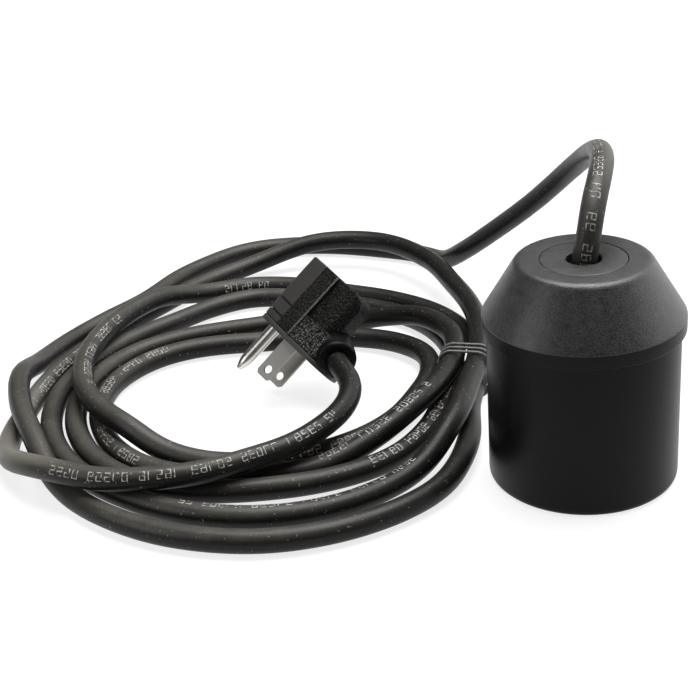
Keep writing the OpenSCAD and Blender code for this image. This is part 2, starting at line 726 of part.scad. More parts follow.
module line_blade() {
    color("silver") in_plug() blade(line_y, -10.5);
}
module switched_contact() {
    color(brass_tone) in_plug() {
        leaf_contact(line_y);
        slot(0, line_y, 1.6, contact_t, pocket_z - air, -12);
    }
}
module neutral_strap() {
    color("silver") in_plug() {
        blade(-line_y, pocket_z - air - 0.1);
        leaf_contact(-line_y);
    }
}
module ground_pin() {
    color("silver") in_plug() translate([-ground_gap, 0, 0]) difference() {
        union() {
            translate([0, 0, -plate_t]) cylinder(r = ground_r, h = plate_t + ground_l - 1);
            translate([0, 0, -plate_t - 1]) cylinder(r = ground_r + collar, h = plate_t + 1);
            translate([0, 0, ground_l - 1]) cylinder(r1 = ground_r, r2 = ground_r - 1, h = 1);
            translate([0, 0, -plug_l + 2.3])
                cylinder(r = ground_r + 1, h = plug_l - 2.3 - plate_t - air);
        }
        translate([0, 0, -plug_l + 1]) cylinder(r = ground_r + 0.2, h = plug_l - 14);
    }
}

// The strain relief: a root in the moulding and a tapered sleeve that seats the cord's end
module strain_relief() {
    root_l = plug_reach - boot_root_x;
    color("#1b1b1c") in_plug() difference() {
        union() {
            translate([boot_root_x, 0, boot_at[2]]) rotate([0, 90, 0])
                cylinder(r = boot_root_r, h = root_l + 1);
            intersection() {
                translate(boot_at) rotate(boot_turn) rotate([0, 90, 0]) rotate_extrude() polygon([
                    [0, -3], [boot_r, -3], [boot_r, 1.5], [boot_tip_r, boot_l - 1],
                    [boot_tip_r - 1, boot_l], [0, boot_l]]);
                block([plug_reach, -20, -30], [plug_reach + 30, 20, -plate_t - running]);
            }
        }
        translate(boot_at) rotate(boot_turn) rotate([0, 90, 0])
            translate([0, 0, boot_l - boot_seat]) cylinder(r = cord_r + fit, h = boot_seat + 1);
    }
}

// A conductor from the strain relief's root to the metal piece that it feeds
module plug_conductor(y, side, tone) {
    root = [boot_root_x, side * 1.4, boot_at[2]];
    color(tone) in_plug() tube(concat(
        [root],
        smooth([root + [-1, 0, 0], [1.6, y * 0.45, boot_at[2]], [0, y - side * 2.4, boot_at[2]]], 3),
        [[0, y - side * 1.2, boot_at[2]]]), core_r, 8, [0, 0, 1]);
}
module plug_conductor_line() {
    plug_conductor(line_y, 1, "#1d1d1f");
}
module plug_conductor_load() {
    plug_conductor(-line_y, -1, "#e9e6dd");
}

float_body();
float_cap();
seal_ring();
retainer_disc();
cord_gland();
potting_plug();
foam_core();
capsule_body();
capsule_cover();
steel_ball();
switch_case();
switch_cover();
switch_bracket();
switch_screws();
plunger();
actuator_lever();
lever_pin();
common_terminal();
open_terminal();
moving_blade();
crimp_sleeves();
float_conductor_line();
float_conductor_load();
cord_lead();
cord_coil();
cord_tail();
cord_tie();
strain_relief();
front_plate();
plug_moulding();
line_blade();
switched_contact();
neutral_strap();
ground_pin();
plug_conductor_line();
plug_conductor_load();
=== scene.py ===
# %% [markdown]
# # A float switch on its coiled cord
# The object is the switch that starts a drainage pump: a sealed float, three metres of rubber
# cord wound in loose loops, and a plug that other plugs can be pushed into. Its hard pieces come
# from the measured model. What the eye judges (moulded shells, a springy cord, a rough soft plug)
# is worked out here as surfaces, with numpy, and given a finish made of shader nodes.

import json

import bmesh
import bpy
import numpy as np
from mathutils import Euler, Matrix, Vector
from mathutils.geometry import tessellate_polygon


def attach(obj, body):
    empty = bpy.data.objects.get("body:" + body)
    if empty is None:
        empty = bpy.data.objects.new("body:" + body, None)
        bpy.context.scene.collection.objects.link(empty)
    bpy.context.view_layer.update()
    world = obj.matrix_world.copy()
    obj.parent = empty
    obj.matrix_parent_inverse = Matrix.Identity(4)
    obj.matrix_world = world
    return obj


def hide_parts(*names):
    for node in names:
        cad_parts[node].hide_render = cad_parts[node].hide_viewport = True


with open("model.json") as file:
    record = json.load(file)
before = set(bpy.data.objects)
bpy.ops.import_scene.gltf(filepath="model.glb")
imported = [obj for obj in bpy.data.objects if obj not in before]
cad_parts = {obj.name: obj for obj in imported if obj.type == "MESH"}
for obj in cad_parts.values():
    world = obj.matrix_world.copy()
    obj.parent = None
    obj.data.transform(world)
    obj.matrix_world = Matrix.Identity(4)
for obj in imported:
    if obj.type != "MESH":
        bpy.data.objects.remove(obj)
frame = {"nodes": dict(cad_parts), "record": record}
scene = bpy.context.scene
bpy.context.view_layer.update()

# %% [markdown]
# ## Where the eye stands
# A short telephoto, a little above table height and turned a few degrees, as when a camera is
# held by hand. A long lens keeps the round float free of stretched edges. The camera comes first
# because it decides how much detail each piece needs. Places are in millimetres and angles in
# degrees, as on a workshop drawing; only a turn round the cord or round an axis is in radians.
# MM turns a place into Blender's metres.

# %% The camera
MM = 0.001
camera_place = np.array([-76.3, -431.8, 259.3])
camera_tilt, camera_roll = 64.33, -4.13
camera_data = bpy.data.cameras.new("camera")
camera = bpy.data.objects.new("camera", camera_data)
scene.collection.objects.link(camera)
scene.camera = camera
camera_data.sensor_width = 36.0
camera_data.lens = 78.26
camera_data.clip_start = 10 * MM
camera.location = camera_place * MM
tilt = Matrix.Rotation(np.radians(camera_tilt), 3, "X")
roll = Matrix.Rotation(np.radians(camera_roll), 3, "Z")
camera.rotation_euler = (tilt @ roll).to_euler()
scene.view_settings.view_transform = "Standard"
print("camera at", camera_place, "with a lens of", round(camera_data.lens, 2), "mm")

# %% [markdown]
# ## Helpers for shapes
# Most pieces are either turned round an axis or carried along a path, so two surface functions
# and one function that puts a grid into a mesh are enough. A modelled mesh could be pushed about
# by hand instead, but a formula can be changed and run again.

# %% Faces of a grid
def grid_faces(rows, columns):
    """Quads between neighbouring grid points; the last column joins the first."""
    i, j = np.meshgrid(np.arange(rows - 1), np.arange(columns), indexing="ij")
    k = (j + 1) % columns
    quads = [i * columns + j, i * columns + k, (i + 1) * columns + k, (i + 1) * columns + j]
    return np.stack(quads, -1).reshape(-1, 4)


print("faces of a ring of three rows and eight columns", len(grid_faces(3, 8)))

# %% A piece from points and faces
def make_piece(name, points, faces, finish, sharp=35.0, merge=True):
    """A mesh object from points in millimetres: doubles merged, smooth up to the sharp angle."""
    mesh = bpy.data.meshes.new(name)
    corners = np.asarray(points, dtype=float).reshape(-1, 3) * MM
    mesh.from_pydata(corners.tolist(), [], [list(map(int, face)) for face in faces])
    if merge:
        shape = bmesh.new()
        shape.from_mesh(mesh)
        bmesh.ops.remove_doubles(shape, verts=shape.verts, dist=1e-6)
        bmesh.ops.dissolve_degenerate(shape, edges=shape.edges, dist=1e-7)
        shape.to_mesh(mesh)
        shape.free()
    mesh.shade_smooth()
    mesh.set_sharp_from_angle(angle=np.radians(sharp))
    for one in finish if isinstance(finish, (list, tuple)) else [finish]:
        mesh.materials.append(one)
    piece = bpy.data.objects.new(name, mesh)
    scene.collection.objects.link(piece)
    return piece


print("one millimetre is", MM, "of Blender's metres")

# %% Rounded corners and turned surfaces
def rounded(corners, radii, steps=6):
    """Each corner c of a closed outline becomes a quadratic curve from the tangent point a before
    it to the tangent point b after it: (1 - t)^2 a + 2 t (1 - t) c + t^2 b."""
    corners = np.asarray(corners, dtype=float)
    before = np.roll(corners, 1, axis=0) - corners
    after = np.roll(corners, -1, axis=0) - corners
    reach_in = np.linalg.norm(before, axis=1, keepdims=True)
    reach_out = np.linalg.norm(after, axis=1, keepdims=True)
    radii = np.asarray(radii, dtype=float)[:, None]
    a = (corners + before / reach_in * np.minimum(radii, reach_in * 0.49))[:, None]
    b = (corners + after / reach_out * np.minimum(radii, reach_out * 0.49))[:, None]
    t = np.linspace(0.0, 1.0, steps)[None, :, None]
    curve = (1 - t) ** 2 * a + 2 * t * (1 - t) * corners[:, None] + t**2 * b
    return curve.reshape(-1, corners.shape[1])


def turned(profile, sides=128):
    """A profile (r, z) turned round Z: (r cos a, r sin a, z), first row repeated at the end."""
    profile = np.vstack([profile, profile[:1]])
    a = np.linspace(0.0, 2 * np.pi, sides, endpoint=False)
    r, z = profile[:, :1], profile[:, 1:]
    points = np.stack([r * np.cos(a), r * np.sin(a), z + 0 * a], -1)
    return points, grid_faces(len(profile), sides)


corner_test = rounded([[0, 0], [10, 0], [10, 10], [0, 10]], [1, 1, 1, 1])
print("a rounded square is", corner_test.max(axis=0) - corner_test.min(axis=0), "mm")

# %% Places read back from a mesh
def vertex_places(mesh):
    """Every vertex of a mesh in millimetres, as rows of X, Y and Z."""
    flat = np.empty(len(mesh.vertices) * 3, dtype=np.float32)
    mesh.vertices.foreach_get("co", flat)
    return flat.reshape(-1, 3) / MM


def face_highest(mesh, values):
    """The highest of one value per vertex over the corners of each face."""
    corner = np.empty(len(mesh.loops), dtype=np.int32)
    mesh.loops.foreach_get("vertex_index", corner)
    first = np.empty(len(mesh.polygons), dtype=np.int32)
    mesh.polygons.foreach_get("loop_start", first)
    return np.maximum.reduceat(values[corner], first)


def measured(node):
    """Radius, foot and top of a model piece turned round Z, to a twentieth of a millimetre."""
    places = vertex_places(frame["nodes"][node].data).astype(float)
    found = np.array([places[:, 0].max(), places[:, 2].min(), places[:, 2].max()])
    return np.round(found * 20) / 20


shell_r, shell_foot, shell_top = measured("float_body")
band_r, joint_z, float_top = measured("float_cap")
disc_r, disc_seat, disc_top = measured("retainer_disc")
print("float", 2 * band_r, "mm across and", float_top - shell_foot, "mm tall")

# %% [markdown]
# ## The route of the cord
# A mains cord is springy: it lies in wide loops, rides over itself in long low humps and never
# kinks. It could be drawn as one long hand-placed curve, but loops that miss each other by half a
# millimetre are easier to steer by a rule. So only the free ends are smooth curves through a few
# listed points. The wound part is a formula: the distance from the coil's middle in twelve
# directions, pass after pass, and a lift wherever one pass crosses another.

# %% Points of the route
lead_points = [
    [0, 0, 65.6], [0, 0, 73.6], [0.7, -0.4, 78.4], [2, 1, 84.6], [3.6, 4.7, 90.3],
    [5.8, 10.5, 94], [8.3, 18.5, 95.8], [11.8, 33, 96], [14.3, 50, 93.2], [15.5, 66, 88],
    [15.5, 79, 82.5], [14, 90, 76], [11, 100, 68.5], [6.5, 109, 60], [1, 118, 51],
    [-6, 128, 41.2], [-13, 138, 31.8], [-20, 148, 22.6], [-25.6, 158.5, 14.6], [-29.4, 168, 8.6],
    [-33, 176.8, 5.4], [-38, 184.6, 4.4]]
tail_points = [
    [-196.4, 55.3, 4.3], [-197.9, 44.5, 4.3], [-197.6, 33, 4.6], [-194.2, 21.5, 7],
    [-186.6, 10.3, 11], [-176, 1, 13.3], [-163, -5.5, 13], [-149, -8.5, 13], [-127, -7.5, 13],
    [-110, -1, 13.2], [-99, 3, 14], [-91.3, 8, 14.8], [-85.3, 14.5, 15.2], [-80, 22, 15.6],
    [-76.4, 30, 16.4], [-75.2, 38, 17.4], [-76.6, 45.5, 18.2]]
print("hand-placed points", len(lead_points), "in the lead,", len(tail_points), "in the tail")

# %% Distances and humps of the wound part
cord_r, cord_floor, cord_layer = 4.0, 4.3, 8.6
coil_middle = np.array([-110.0, 80.0])
coil_start, coil_step = 63.0, 30.0
# One row for each direction, every coil_step degrees from coil_start; one column for each pass.
coil_reach = [
    [127.5, 78, 31, 50, 67, 116], [125, 84, 27, 42, 71, 104], [91, 73.5, 32, 45, 63, 81.5],
    [87.3, 67.5, 43.5, 55, 65.7, 75.8], [88.6, 65.5, 55.7, 65.2, 74.3, 83.1],
    [92, 66, 66.2, 75.3, 84.4], [106.5, 67.3, 76.3, 85.3, 94.4], [117.5, 68.3, 77.2, 86.1, 103.7],
    [111.5, 68, 77, 86, 100], [86, 65.5, 75.2, 76, 86], [84.7, 64.3, 74.2, 74.7, 85.3],
    [83, 46, 60, 73, 95]]
# Each hump: its direction counted on over all passes, half its flat top, and one ramp, in degrees.
coil_humps = [[195, 10, 26], [536, 47, 30], [1068, 32, 28], [1817, 55, 28]]
tie_hump, tie_lift = [-8.0, 12, 30], 1.0
passes, last_steps, points_per_step = len(coil_reach[0]), 5, 2
print("passes", passes, "and humps", len(coil_humps))

# %% Smooth curves through points
def smooth(points, per):
    """Catmull-Rom: between b and c, (2b + (c-a)t + (2a-5b+4c-d)t^2 + (3b-a-3c+d)t^3) / 2."""
    p = np.asarray(points, dtype=float)
    if p.ndim == 1:
        p = p[:, None]
    p = np.vstack([2 * p[:1] - p[1:2], p, 2 * p[-1:] - p[-2:-1]])
    a, b, c, d = (p[k:len(p) - 3 + k][:, None] for k in range(4))
    t = np.linspace(0.0, 1.0, per, endpoint=False)[None, :, None]
    bend, turn = 2 * a - 5 * b + 4 * c - d, 3 * b - a - 3 * c + d
    curve = 2 * b + (c - a) * t + bend * t**2 + turn * t**3
    return np.vstack([curve.reshape(-1, p.shape[1]) / 2, p[-2:-1]])


def ease(x):
    """Smooth step 3x^2 - 2x^3, held at 0 and 1 outside its range."""
    x = np.clip(x, 0.0, 1.0)
    return x * x * (3 - 2 * x)


def hump(way, at, flat, ramp):
    """A flat-topped rise round one direction: 1 - ease((|way - at| - flat) / ramp)."""
    return 1 - ease((np.abs(way - at) - flat) / ramp)


print("height of a hump half way down its ramp", float(hump(47.0, 0.0, 32.0, 30.0)))

# %% The wound part
# Read pass by pass. The last pass stops after last_steps directions.
reaches = [
    row[n] for n in range(passes) for k, row in enumerate(coil_reach)
    if (n < len(row) if n < passes - 1 else k < last_steps)]
reach = smooth(reaches, points_per_step)[:, 0]
way = coil_start + np.arange(len(reach)) * coil_step / points_per_step
lift = cord_layer * np.max([hump(way, *h) for h in coil_humps], axis=0)
from_tie = (way - tie_hump[0] + 180) % 360 - 180
lift += tie_lift * hump(from_tie, 0, *tie_hump[1:])
angle = np.radians(way)
coil_points = np.stack([
    coil_middle[0] + reach * np.cos(angle), coil_middle[1] + reach * np.sin(angle),
    cord_floor + lift], -1)
print("loops of cord", round((way[-1] - way[0]) / 360, 2))

# %% [markdown]
# ## The plug's place
# The plug lies tipped on the inner loops, so it has its own axes: X towards the cord, Y out of
# its broad face, Z along the blades. Everything on it is drawn in those axes and turned once.
# A parent object could do the turning, but finished pieces here keep their place in their mesh.

# %% The plug's own axes
plug_place = np.array([-94.3, 69.6, 18.4])
plug_turn = np.array(Euler(np.radians([136.0, 27.5, -44.5])).to_matrix())
boot_place = np.array([11.0, 0.0, -9.0])
boot_turn = np.array(Euler(np.radians([0.0, -11.0, 44.0])).to_matrix())
boot_length, boot_seat = 10.0, 4.2


def on_plug(points):
    """Plug axes to the object's: turn, then shift."""
    return np.asarray(points, dtype=float) @ plug_turn.T + plug_place


def on_boot(points):
    """Axes of the strain relief, X along it, to the object's."""
    return on_plug(np.asarray(points, dtype=float) @ boot_turn.T + boot_place)


print("the cord enters the plug at", np.round(on_boot([boot_length, 0, 0]), 1))

# %% One even curve from float to plug
def evened(points, gap):
    """The same curve with points an equal distance apart, by interpolating on its run."""
    run = np.concatenate([[0.0], np.cumsum(np.linalg.norm(np.diff(points, axis=0), axis=1))])
    even = np.linspace(0.0, run[-1], int(run[-1] / gap) + 1)
    return np.stack([np.interp(even, run, points[:, k]) for k in range(3)], -1), even


spacing, blur_reach, blur_width = 1.5, 6, 2.5
boot_points = on_boot([[boot_length + 2, 0, 0], [boot_length - boot_seat + 0.1, 0, 0]])
route = np.vstack([lead_points, coil_points, tail_points, boot_points])
cord_line, cord_run = evened(smooth(route, 24), spacing)
# A weighted mean of thirteen neighbours takes out what is left of the corners.
blur = np.exp(-0.5 * (np.arange(-blur_reach, blur_reach + 1) / blur_width) ** 2)
blur /= blur.sum()
padded = np.vstack([
    2 * cord_line[0] - cord_line[blur_reach:0:-1], cord_line,
    2 * cord_line[-1] - cord_line[-2:-2 - blur_reach:-1]])
cord_line = np.stack([np.convolve(padded[:, k], blur, "valid") for k in range(3)], -1)
cord_line, cord_run = evened(cord_line, spacing)
print("cord length in mm", round(float(cord_run[-1])))

# %% Sideways directions along the cord
def carried_frame(line):
    """Two directions square to a path. The first is side x along, a cross product: side is X where
    the path rises from the float and eases over to Z where it lies flat. The second is square to
    both. Z alone would fail where the path is upright, and X alone where it runs along X."""
    along = np.gradient(line, axis=0)
    along /= np.linalg.norm(along, axis=1, keepdims=True)
    rising_points, easing_points = 90, 60
    flat = ease((np.arange(len(line)) - rising_points) / easing_points)[:, None]
    side = (1 - flat) * np.array([1.0, 0, 0]) + flat * np.array([0, 0, 1.0])
    first = np.cross(side, along)
    first /= np.linalg.norm(first, axis=1, keepdims=True)
    return along, first, np.cross(along, first)


cord_along, cord_first, cord_second = carried_frame(cord_line)


def on_cord(run, turn, radius):
    """A point at a run along the cord and a turn round it: line + radius (cos f + sin s)."""
    place, f, s = (
        np.stack([np.interp(run, cord_run, array[:, k]) for k in range(3)], -1)
        for array in (cord_line, cord_first, cord_second))
    return place + radius * (np.cos(turn)[..., None] * f + np.sin(turn)[..., None] * s)


print("points along the cord", len(cord_line), "every", spacing, "mm")

# %% [markdown]
# ## Helpers for finishes
# Every finish is a small tree of shader nodes: patterns worked out from a place on the piece. A
# picture laid over it would show its seams, and its pixels close up. Roughness starts from what is
# usual for the material and is then matched. One function turns a web colour into the
# linear light that the shader needs, and one adds a node with its settings and links.

# %% Colours
def linear(hex_colour):
    """sRGB to linear: c / 12.92 up to 0.04045, else ((c + 0.055) / 1.055) ^ 2.4."""
    c = np.array([int(hex_colour[k:k + 2], 16) for k in (1, 3, 5)]) / 255
    c = np.where(c <= 0.04045, c / 12.92, ((c + 0.055) / 1.055) ** 2.4)
    return (*map(float, c), 1.0)


print("mid grey #808080 is", round(linear("#808080")[0], 3), "of white in linear light")

# %% Nodes
def add(tree, kind, inputs=None, **settings):
    """A new shader node: settings are its properties, inputs are values or other sockets."""
    node = tree.nodes.new("ShaderNode" + kind)
    for name, value in settings.items():
        setattr(node, name, value)
    for key, value in (inputs or {}).items():
        if isinstance(value, bpy.types.NodeSocket):
            tree.links.new(value, node.inputs[key])
        else:
            node.inputs[key].default_value = value
    return node


def new_finish(name):
    """An empty finish: its node tree, its Principled shader and the object's own coordinates."""
    finish = bpy.data.materials.new(name)
    finish.use_nodes = True
    tree = finish.node_tree
    tree.nodes.clear()
    shader = add(tree, "BsdfPrincipled")
    add(tree, "OutputMaterial", {"Surface": shader.outputs["BSDF"]})
    place = add(tree, "TexCoord").outputs["Object"]
    return finish, tree, shader, place


def join(tree, output, shader, socket):
    """Links one output to one of the shader's sockets."""
    tree.links.new(output, shader.inputs[socket])


def per_mm(size):
    """Noise scale whose features are this many millimetres across, on coordinates in metres."""
    return 1000.0 / size


print("noise scale for features of half a millimetre", per_mm(0.5))

# %% [markdown]
# ## Moulded shells
# The float is injection-moulded ABS, black all through. The cap's mould was spark-eroded, which
# leaves a fine even grain, and handling greys the tips of that grain, so the cone looks mottled.
# The lower shell and the cap's straight band were polished in the mould instead: they stay nearly
# black and show one soft upright highlight. A picture of grain would have to be stretched over the
# cone. Noise worked out in space has no seam and the same size everywhere.

# %% Plastic out of a mould
cloud_mm, cloud_share, rough_spread = 3.0, 0.3, 0.05


def moulded(name, light, dark, rough, grain_mm, depth_mm, gloss=0.35):
    """Plastic with a grain of a given width and depth whose tips are lighter and duller. A slow
    cloud of wider patches is mixed in, so that the grain doesn't look machine-even."""
    finish, tree, shader, place = new_finish(name)
    grain = add(tree, "TexNoise", {"Vector": place, "Scale": per_mm(grain_mm), "Detail": 2.0})
    cloud = add(tree, "TexNoise", {"Vector": place, "Scale": per_mm(cloud_mm), "Detail": 4.0})
    both = add(tree, "Mix", {
        "Factor": cloud_share, "A": grain.outputs["Fac"], "B": cloud.outputs["Fac"]},
        data_type="FLOAT")
    mottle = add(tree, "MapRange", {
        "Value": both.outputs["Result"], "From Min": 0.32, "From Max": 0.68})
    colour = add(tree, "Mix", {
        "Factor": mottle.outputs["Result"], "A": linear(dark), "B": linear(light)},
        data_type="RGBA")
    bump = add(tree, "Bump", {"Height": grain.outputs["Fac"], "Distance": depth_mm * MM})
    skin = add(tree, "MapRange", {
        "Value": grain.outputs["Fac"], "From Min": 0.3, "From Max": 0.7,
        "To Min": rough - rough_spread, "To Max": rough + rough_spread})
    join(tree, colour.outputs["Result"], shader, "Base Color")
    join(tree, skin.outputs["Result"], shader, "Roughness")
    join(tree, bump.outputs["Normal"], shader, "Normal")
    shader.inputs["Specular IOR Level"].default_value = gloss
    return finish


print("patches of", cloud_mm, "mm make up", cloud_share, "of the pattern")

# %% Finishes of the two shells and the disc
# Real grain is about 0.05 mm wide and wouldn't show, so each one is drawn as coarse as it needs.
# Spark-eroded ABS: the eye gets a mottled dark grey with a broad dull shine.
grained_abs = moulded("grained_abs_cap", "#424141", "#191818", 0.38, 0.5, 0.1, 0.5)
# Polished ABS: near black, with one soft highlight that runs up the side.
polished_abs = moulded("polished_abs_shell", "#0d0d0d", "#070707", 0.36, 0.45, 0.04, 0.12)
# The disc comes from a mould of its own: the same grain, a shade lighter and duller.
disc_abs = moulded("grained_abs_disc", "#464545", "#1c1b1b", 0.4, 0.45, 0.1, 0.45)
print("shell finishes", grained_abs.name, polished_abs.name, disc_abs.name)

# %% [markdown]
# ## The float
# A shell turned on an axis is a lathe shape: one profile, swept round. Cylinders and cones joined
# by boolean cuts would give the same outline with knife edges. The profile carries what makes it
# look moulded: a soft shoulder where the band turns into the cone, a small radius at the crown's
# edge that catches a thin line of light, and a step under the band where the shells meet.

# %% Lower shell
wall = 2.5
spigot_r, fit = 29.75, 0.15
shell_profile = rounded(
    [[0, 0], [shell_r, 0], [shell_r, joint_z], [spigot_r, joint_z], [spigot_r, shell_top],
     [shell_r - wall, shell_top], [shell_r - wall, wall], [0, wall]],
    [0, 2.6, 0.25, 0.2, 0.3, 0.3, 2.0, 0])
lower_shell = make_piece("lower_shell", *turned(shell_profile, 160), polished_abs)
print("lower shell with", len(lower_shell.data.polygons), "faces")

# %% Cap
band_top, crown_r, boss_r, boss_foot = 57.6, 21.5, 10.5, 62.6
recess_r, bush_r, roof, shoulder = disc_r + fit, 8.05, 69.1, [28.3, 60.4]
cap_profile = rounded(
    [[spigot_r + fit, joint_z], [band_r, joint_z], [band_r, band_top], [crown_r, float_top],
     [recess_r, float_top], [recess_r, disc_seat], [bush_r, disc_seat], [bush_r, boss_foot],
     [boss_r, boss_foot], [boss_r, roof], [22.0, roof], shoulder, [shoulder[0], 58.85],
     [spigot_r + fit, 58.85]],
    [0.2, 0.35, 0.6, 1.9, 0.3, 0.2, 0.2, 0.2, 0.2, 0.4, 1.0, 0.4, 0.2, 0.2], 8)
cap = make_piece("cap", *turned(cap_profile, 160), [grained_abs, polished_abs])
print("cap", 2 * band_r, "mm across its band,", 2 * crown_r, "mm across its crown")

# %% The band's polished finish
# A face belongs to the band when its highest corner is under the cone's first rounded corner.
cone_starts = band_top - 0.15
on_band = face_highest(cap.data, vertex_places(cap.data)[:, 2]) < cone_starts
cap.data.polygons.foreach_set("material_index", on_band.astype(np.int32))
print("faces of the cap under the cone", int(on_band.sum()), "of", len(on_band))

# %% Disc in the crown
hole_r, disc_rim, disc_sunk = 5.6, 11.4, 0.1
disc_profile = rounded(
    [[hole_r, 73.4], [disc_rim, 73.4], [disc_rim, disc_seat], [disc_r, disc_seat],
     [disc_r, disc_top - disc_sunk], [hole_r, disc_top - disc_sunk]],
    [0.2, 0.2, 0.2, 0.2, 0.35, 0.5])
disc = make_piece("crown_disc", *turned(disc_profile, 128), disc_abs)
for piece, node, slot in (
        (lower_shell, "float_body", "shell"), (cap, "float_cap", "shell"),
        (disc, "retainer_disc", "plate")):
    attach(piece, "housing")
    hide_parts(node)
print("disc sunk", disc_sunk, "mm, with", round(hole_r - cord_r, 1), "mm round the cord")

# %% [markdown]
# ## The cord's jacket
# The jacket is thermoset rubber over twisted conductors. Fresh from the extruder it is black and
# a little glossy; wax and dust lie on it in long streaks. Each loop is painted pale on its back
# and
# black on its belly: painted light and painted shade. A tube carried along the route makes the
# surface. Two values go with every point: its run along the cord, for streaks that follow the
# length, and how much painted light it gets. Light alone could shade the loops, but then the belly
# would be as grey as the back.

# %% Jacket finish: its colour
# Vulcanised rubber: a grey of wax and dust in long streaks over black, laid on as painted light on
# the back of each loop.
rubber_jacket, tree, shader, place = new_finish("rubber_jacket")
run = add(tree, "Attribute", attribute_name="run", attribute_type="GEOMETRY").outputs["Fac"]
# The second value paints light on the back of each loop and shade on its belly.
upper = add(tree, "Attribute", attribute_name="upper", attribute_type="GEOMETRY").outputs["Fac"]
streaks = add(
    tree, "TexNoise", {"W": run, "Scale": per_mm(35), "Detail": 3.0}, noise_dimensions="1D")
dust = add(tree, "TexNoise", {
    "Vector": place, "Scale": per_mm(6), "Detail": 5.0, "Roughness": 0.6})
blend = add(tree, "Math", {
    0: streaks.outputs["Fac"], 1: dust.outputs["Fac"]}, operation="MULTIPLY")
tone = add(tree, "MapRange", {
    "Value": blend.outputs["Value"], "From Min": 0.1, "From Max": 0.42,
    "To Min": 0.6, "To Max": 1.1})
dust_and_painted_light = add(
    tree, "Math", {0: upper, 1: tone.outputs["Result"]}, operation="MULTIPLY", use_clamp=True)
# Black is the painted shade of the bellies; grey, broken by the streaks, is the painted light on
# the backs.
greyed = add(tree, "Mix", {
    "Factor": dust_and_painted_light.outputs["Value"], "A": linear("#0d0d0c"), "B": linear("#42403b")},
    data_type="RGBA")
# The palest grey is a painted highlight where the painted light is strongest.
painted_highlight = add(tree, "MapRange", {"Value": upper, "From Min": 0.9, "From Max": 1.7})
with_painted_highlight = add(tree, "Mix", {
    "Factor": painted_highlight.outputs["Result"], "A": greyed.outputs["Result"], "B": linear("#64615a")},
    data_type="RGBA")
print("greys of the jacket", [round(linear(c)[0], 3) for c in ("#0d0d0c", "#42403b", "#64615a")])

# %% Jacket finish: its skin
# Specks of lint and the rubber's pores are finer than this; both are drawn coarse enough to show.
grit = add(tree, "TexNoise", {"Vector": place, "Scale": per_mm(1.0), "Detail": 1.0})
specks = add(tree, "MapRange", {
    "Value": grit.outputs["Fac"], "From Min": 0.7, "From Max": 0.78, "To Max": 0.6})
speckled = add(tree, "Mix", {
    "Factor": specks.outputs["Result"], "A": with_painted_highlight.outputs["Result"], "B": linear("#8f8c84")},
    data_type="RGBA")
skin = add(tree, "MapRange", {
    "Value": dust.outputs["Fac"], "From Min": 0.3, "From Max": 0.7,
    "To Min": 0.36, "To Max": 0.46})
pores = add(tree, "TexNoise", {"Vector": place, "Scale": per_mm(0.7), "Detail": 2.0})
bump = add(tree, "Bump", {"Height": pores.outputs["Fac"], "Distance": 0.04 * MM})
join(tree, speckled.outputs["Result"], shader, "Base Color")
join(tree, skin.outputs["Result"], shader, "Roughness")
join(tree, bump.outputs["Normal"], shader, "Normal")
shader.inputs["Specular IOR Level"].default_value = 0.22
print("nodes in the jacket's finish", len(tree.nodes))

# %% Jacket surface
def tube(run, sides, radius):
    """Rings round the cord's line: each point is the line plus radius (cos t first + sin t
    second), and both ends close with a ring of no radius."""
    turn = np.linspace(0, 2 * np.pi, sides, endpoint=False)
    size = np.full(len(run) + 2, float(radius))
    size[[0, -1]] = 0.0
    run = np.concatenate([run[:1], run, run[-1:]])
    points = on_cord(np.repeat(run[:, None], sides, 1), np.repeat(turn[None], len(run), 0),
                     size[:, None, None])
    return points, run


jacket_sides = 20
jacket_points, jacket_run = tube(cord_run, jacket_sides, cord_r)
jacket_faces = grid_faces(*jacket_points.shape[:2])
print("faces of the jacket", len(jacket_faces))

# %% How much painted light each point gets
# On a slope the ring leans, so its highest point rises less. Dividing by the slope's cosine, down
# to 0.3, lets the rise go from -1 under every ring to 1 on its back.
line_height, steep = (
    np.interp(jacket_run, cord_run, v)[:, None]
    for v in (cord_line[:, 2], np.abs(cord_along[:, 2])))
rise = (jacket_points[..., 2] - line_height) / cord_r / np.maximum(np.sqrt(1 - steep**2), 0.3)
# Painted light on the back of each ring and painted shade under it.
back = ease((rise - 0.15) / 0.85)
# Where the cord stands upright it has no back, and the whole ring gets half the painted light.
upright = ease((steep - 0.8) / 0.2)
# On the float's side of the coil, and in the last 90 mm before the plug, painted shade takes most
# of the painted light away.
lead_end, plug_part = 240, 3040
painted_shade = (0.8 * ease((jacket_points[..., 0] + 105) / 50)
           * ease((jacket_run[:, None] - lead_end) / 60))
painted_shade = np.maximum(painted_shade, 0.9 * ease((jacket_run[:, None] - plug_part) / 50))
# The sharp turn at the left is painted pale all round: painted light on the turned end.
left_turn_at = 2938
lit_left_turn = 1 - ease((np.abs(jacket_run - left_turn_at) - 20) / 40)
# Painted light and shade of every point of the jacket.
jacket_upper = (back * (1 - upright) + 0.5 * upright) * (1 - painted_shade) + lit_left_turn[:, None]
print("share of the jacket that is greyed", round(float(np.mean(jacket_upper > 0.5)), 2))

# %% [markdown]
# ## The marks printed on the jacket
# A cord is printed as it leaves the extruder, with a wheel that repeats the same figures and wears
# as it runs. The marks here are plain numbers in seven strokes each. They could be an image on the
# jacket, but thin strips of mesh stay sharp at any distance. Every stroke is a narrow strip drawn
# flat, along the cord and round it, and then wrapped on the jacket.

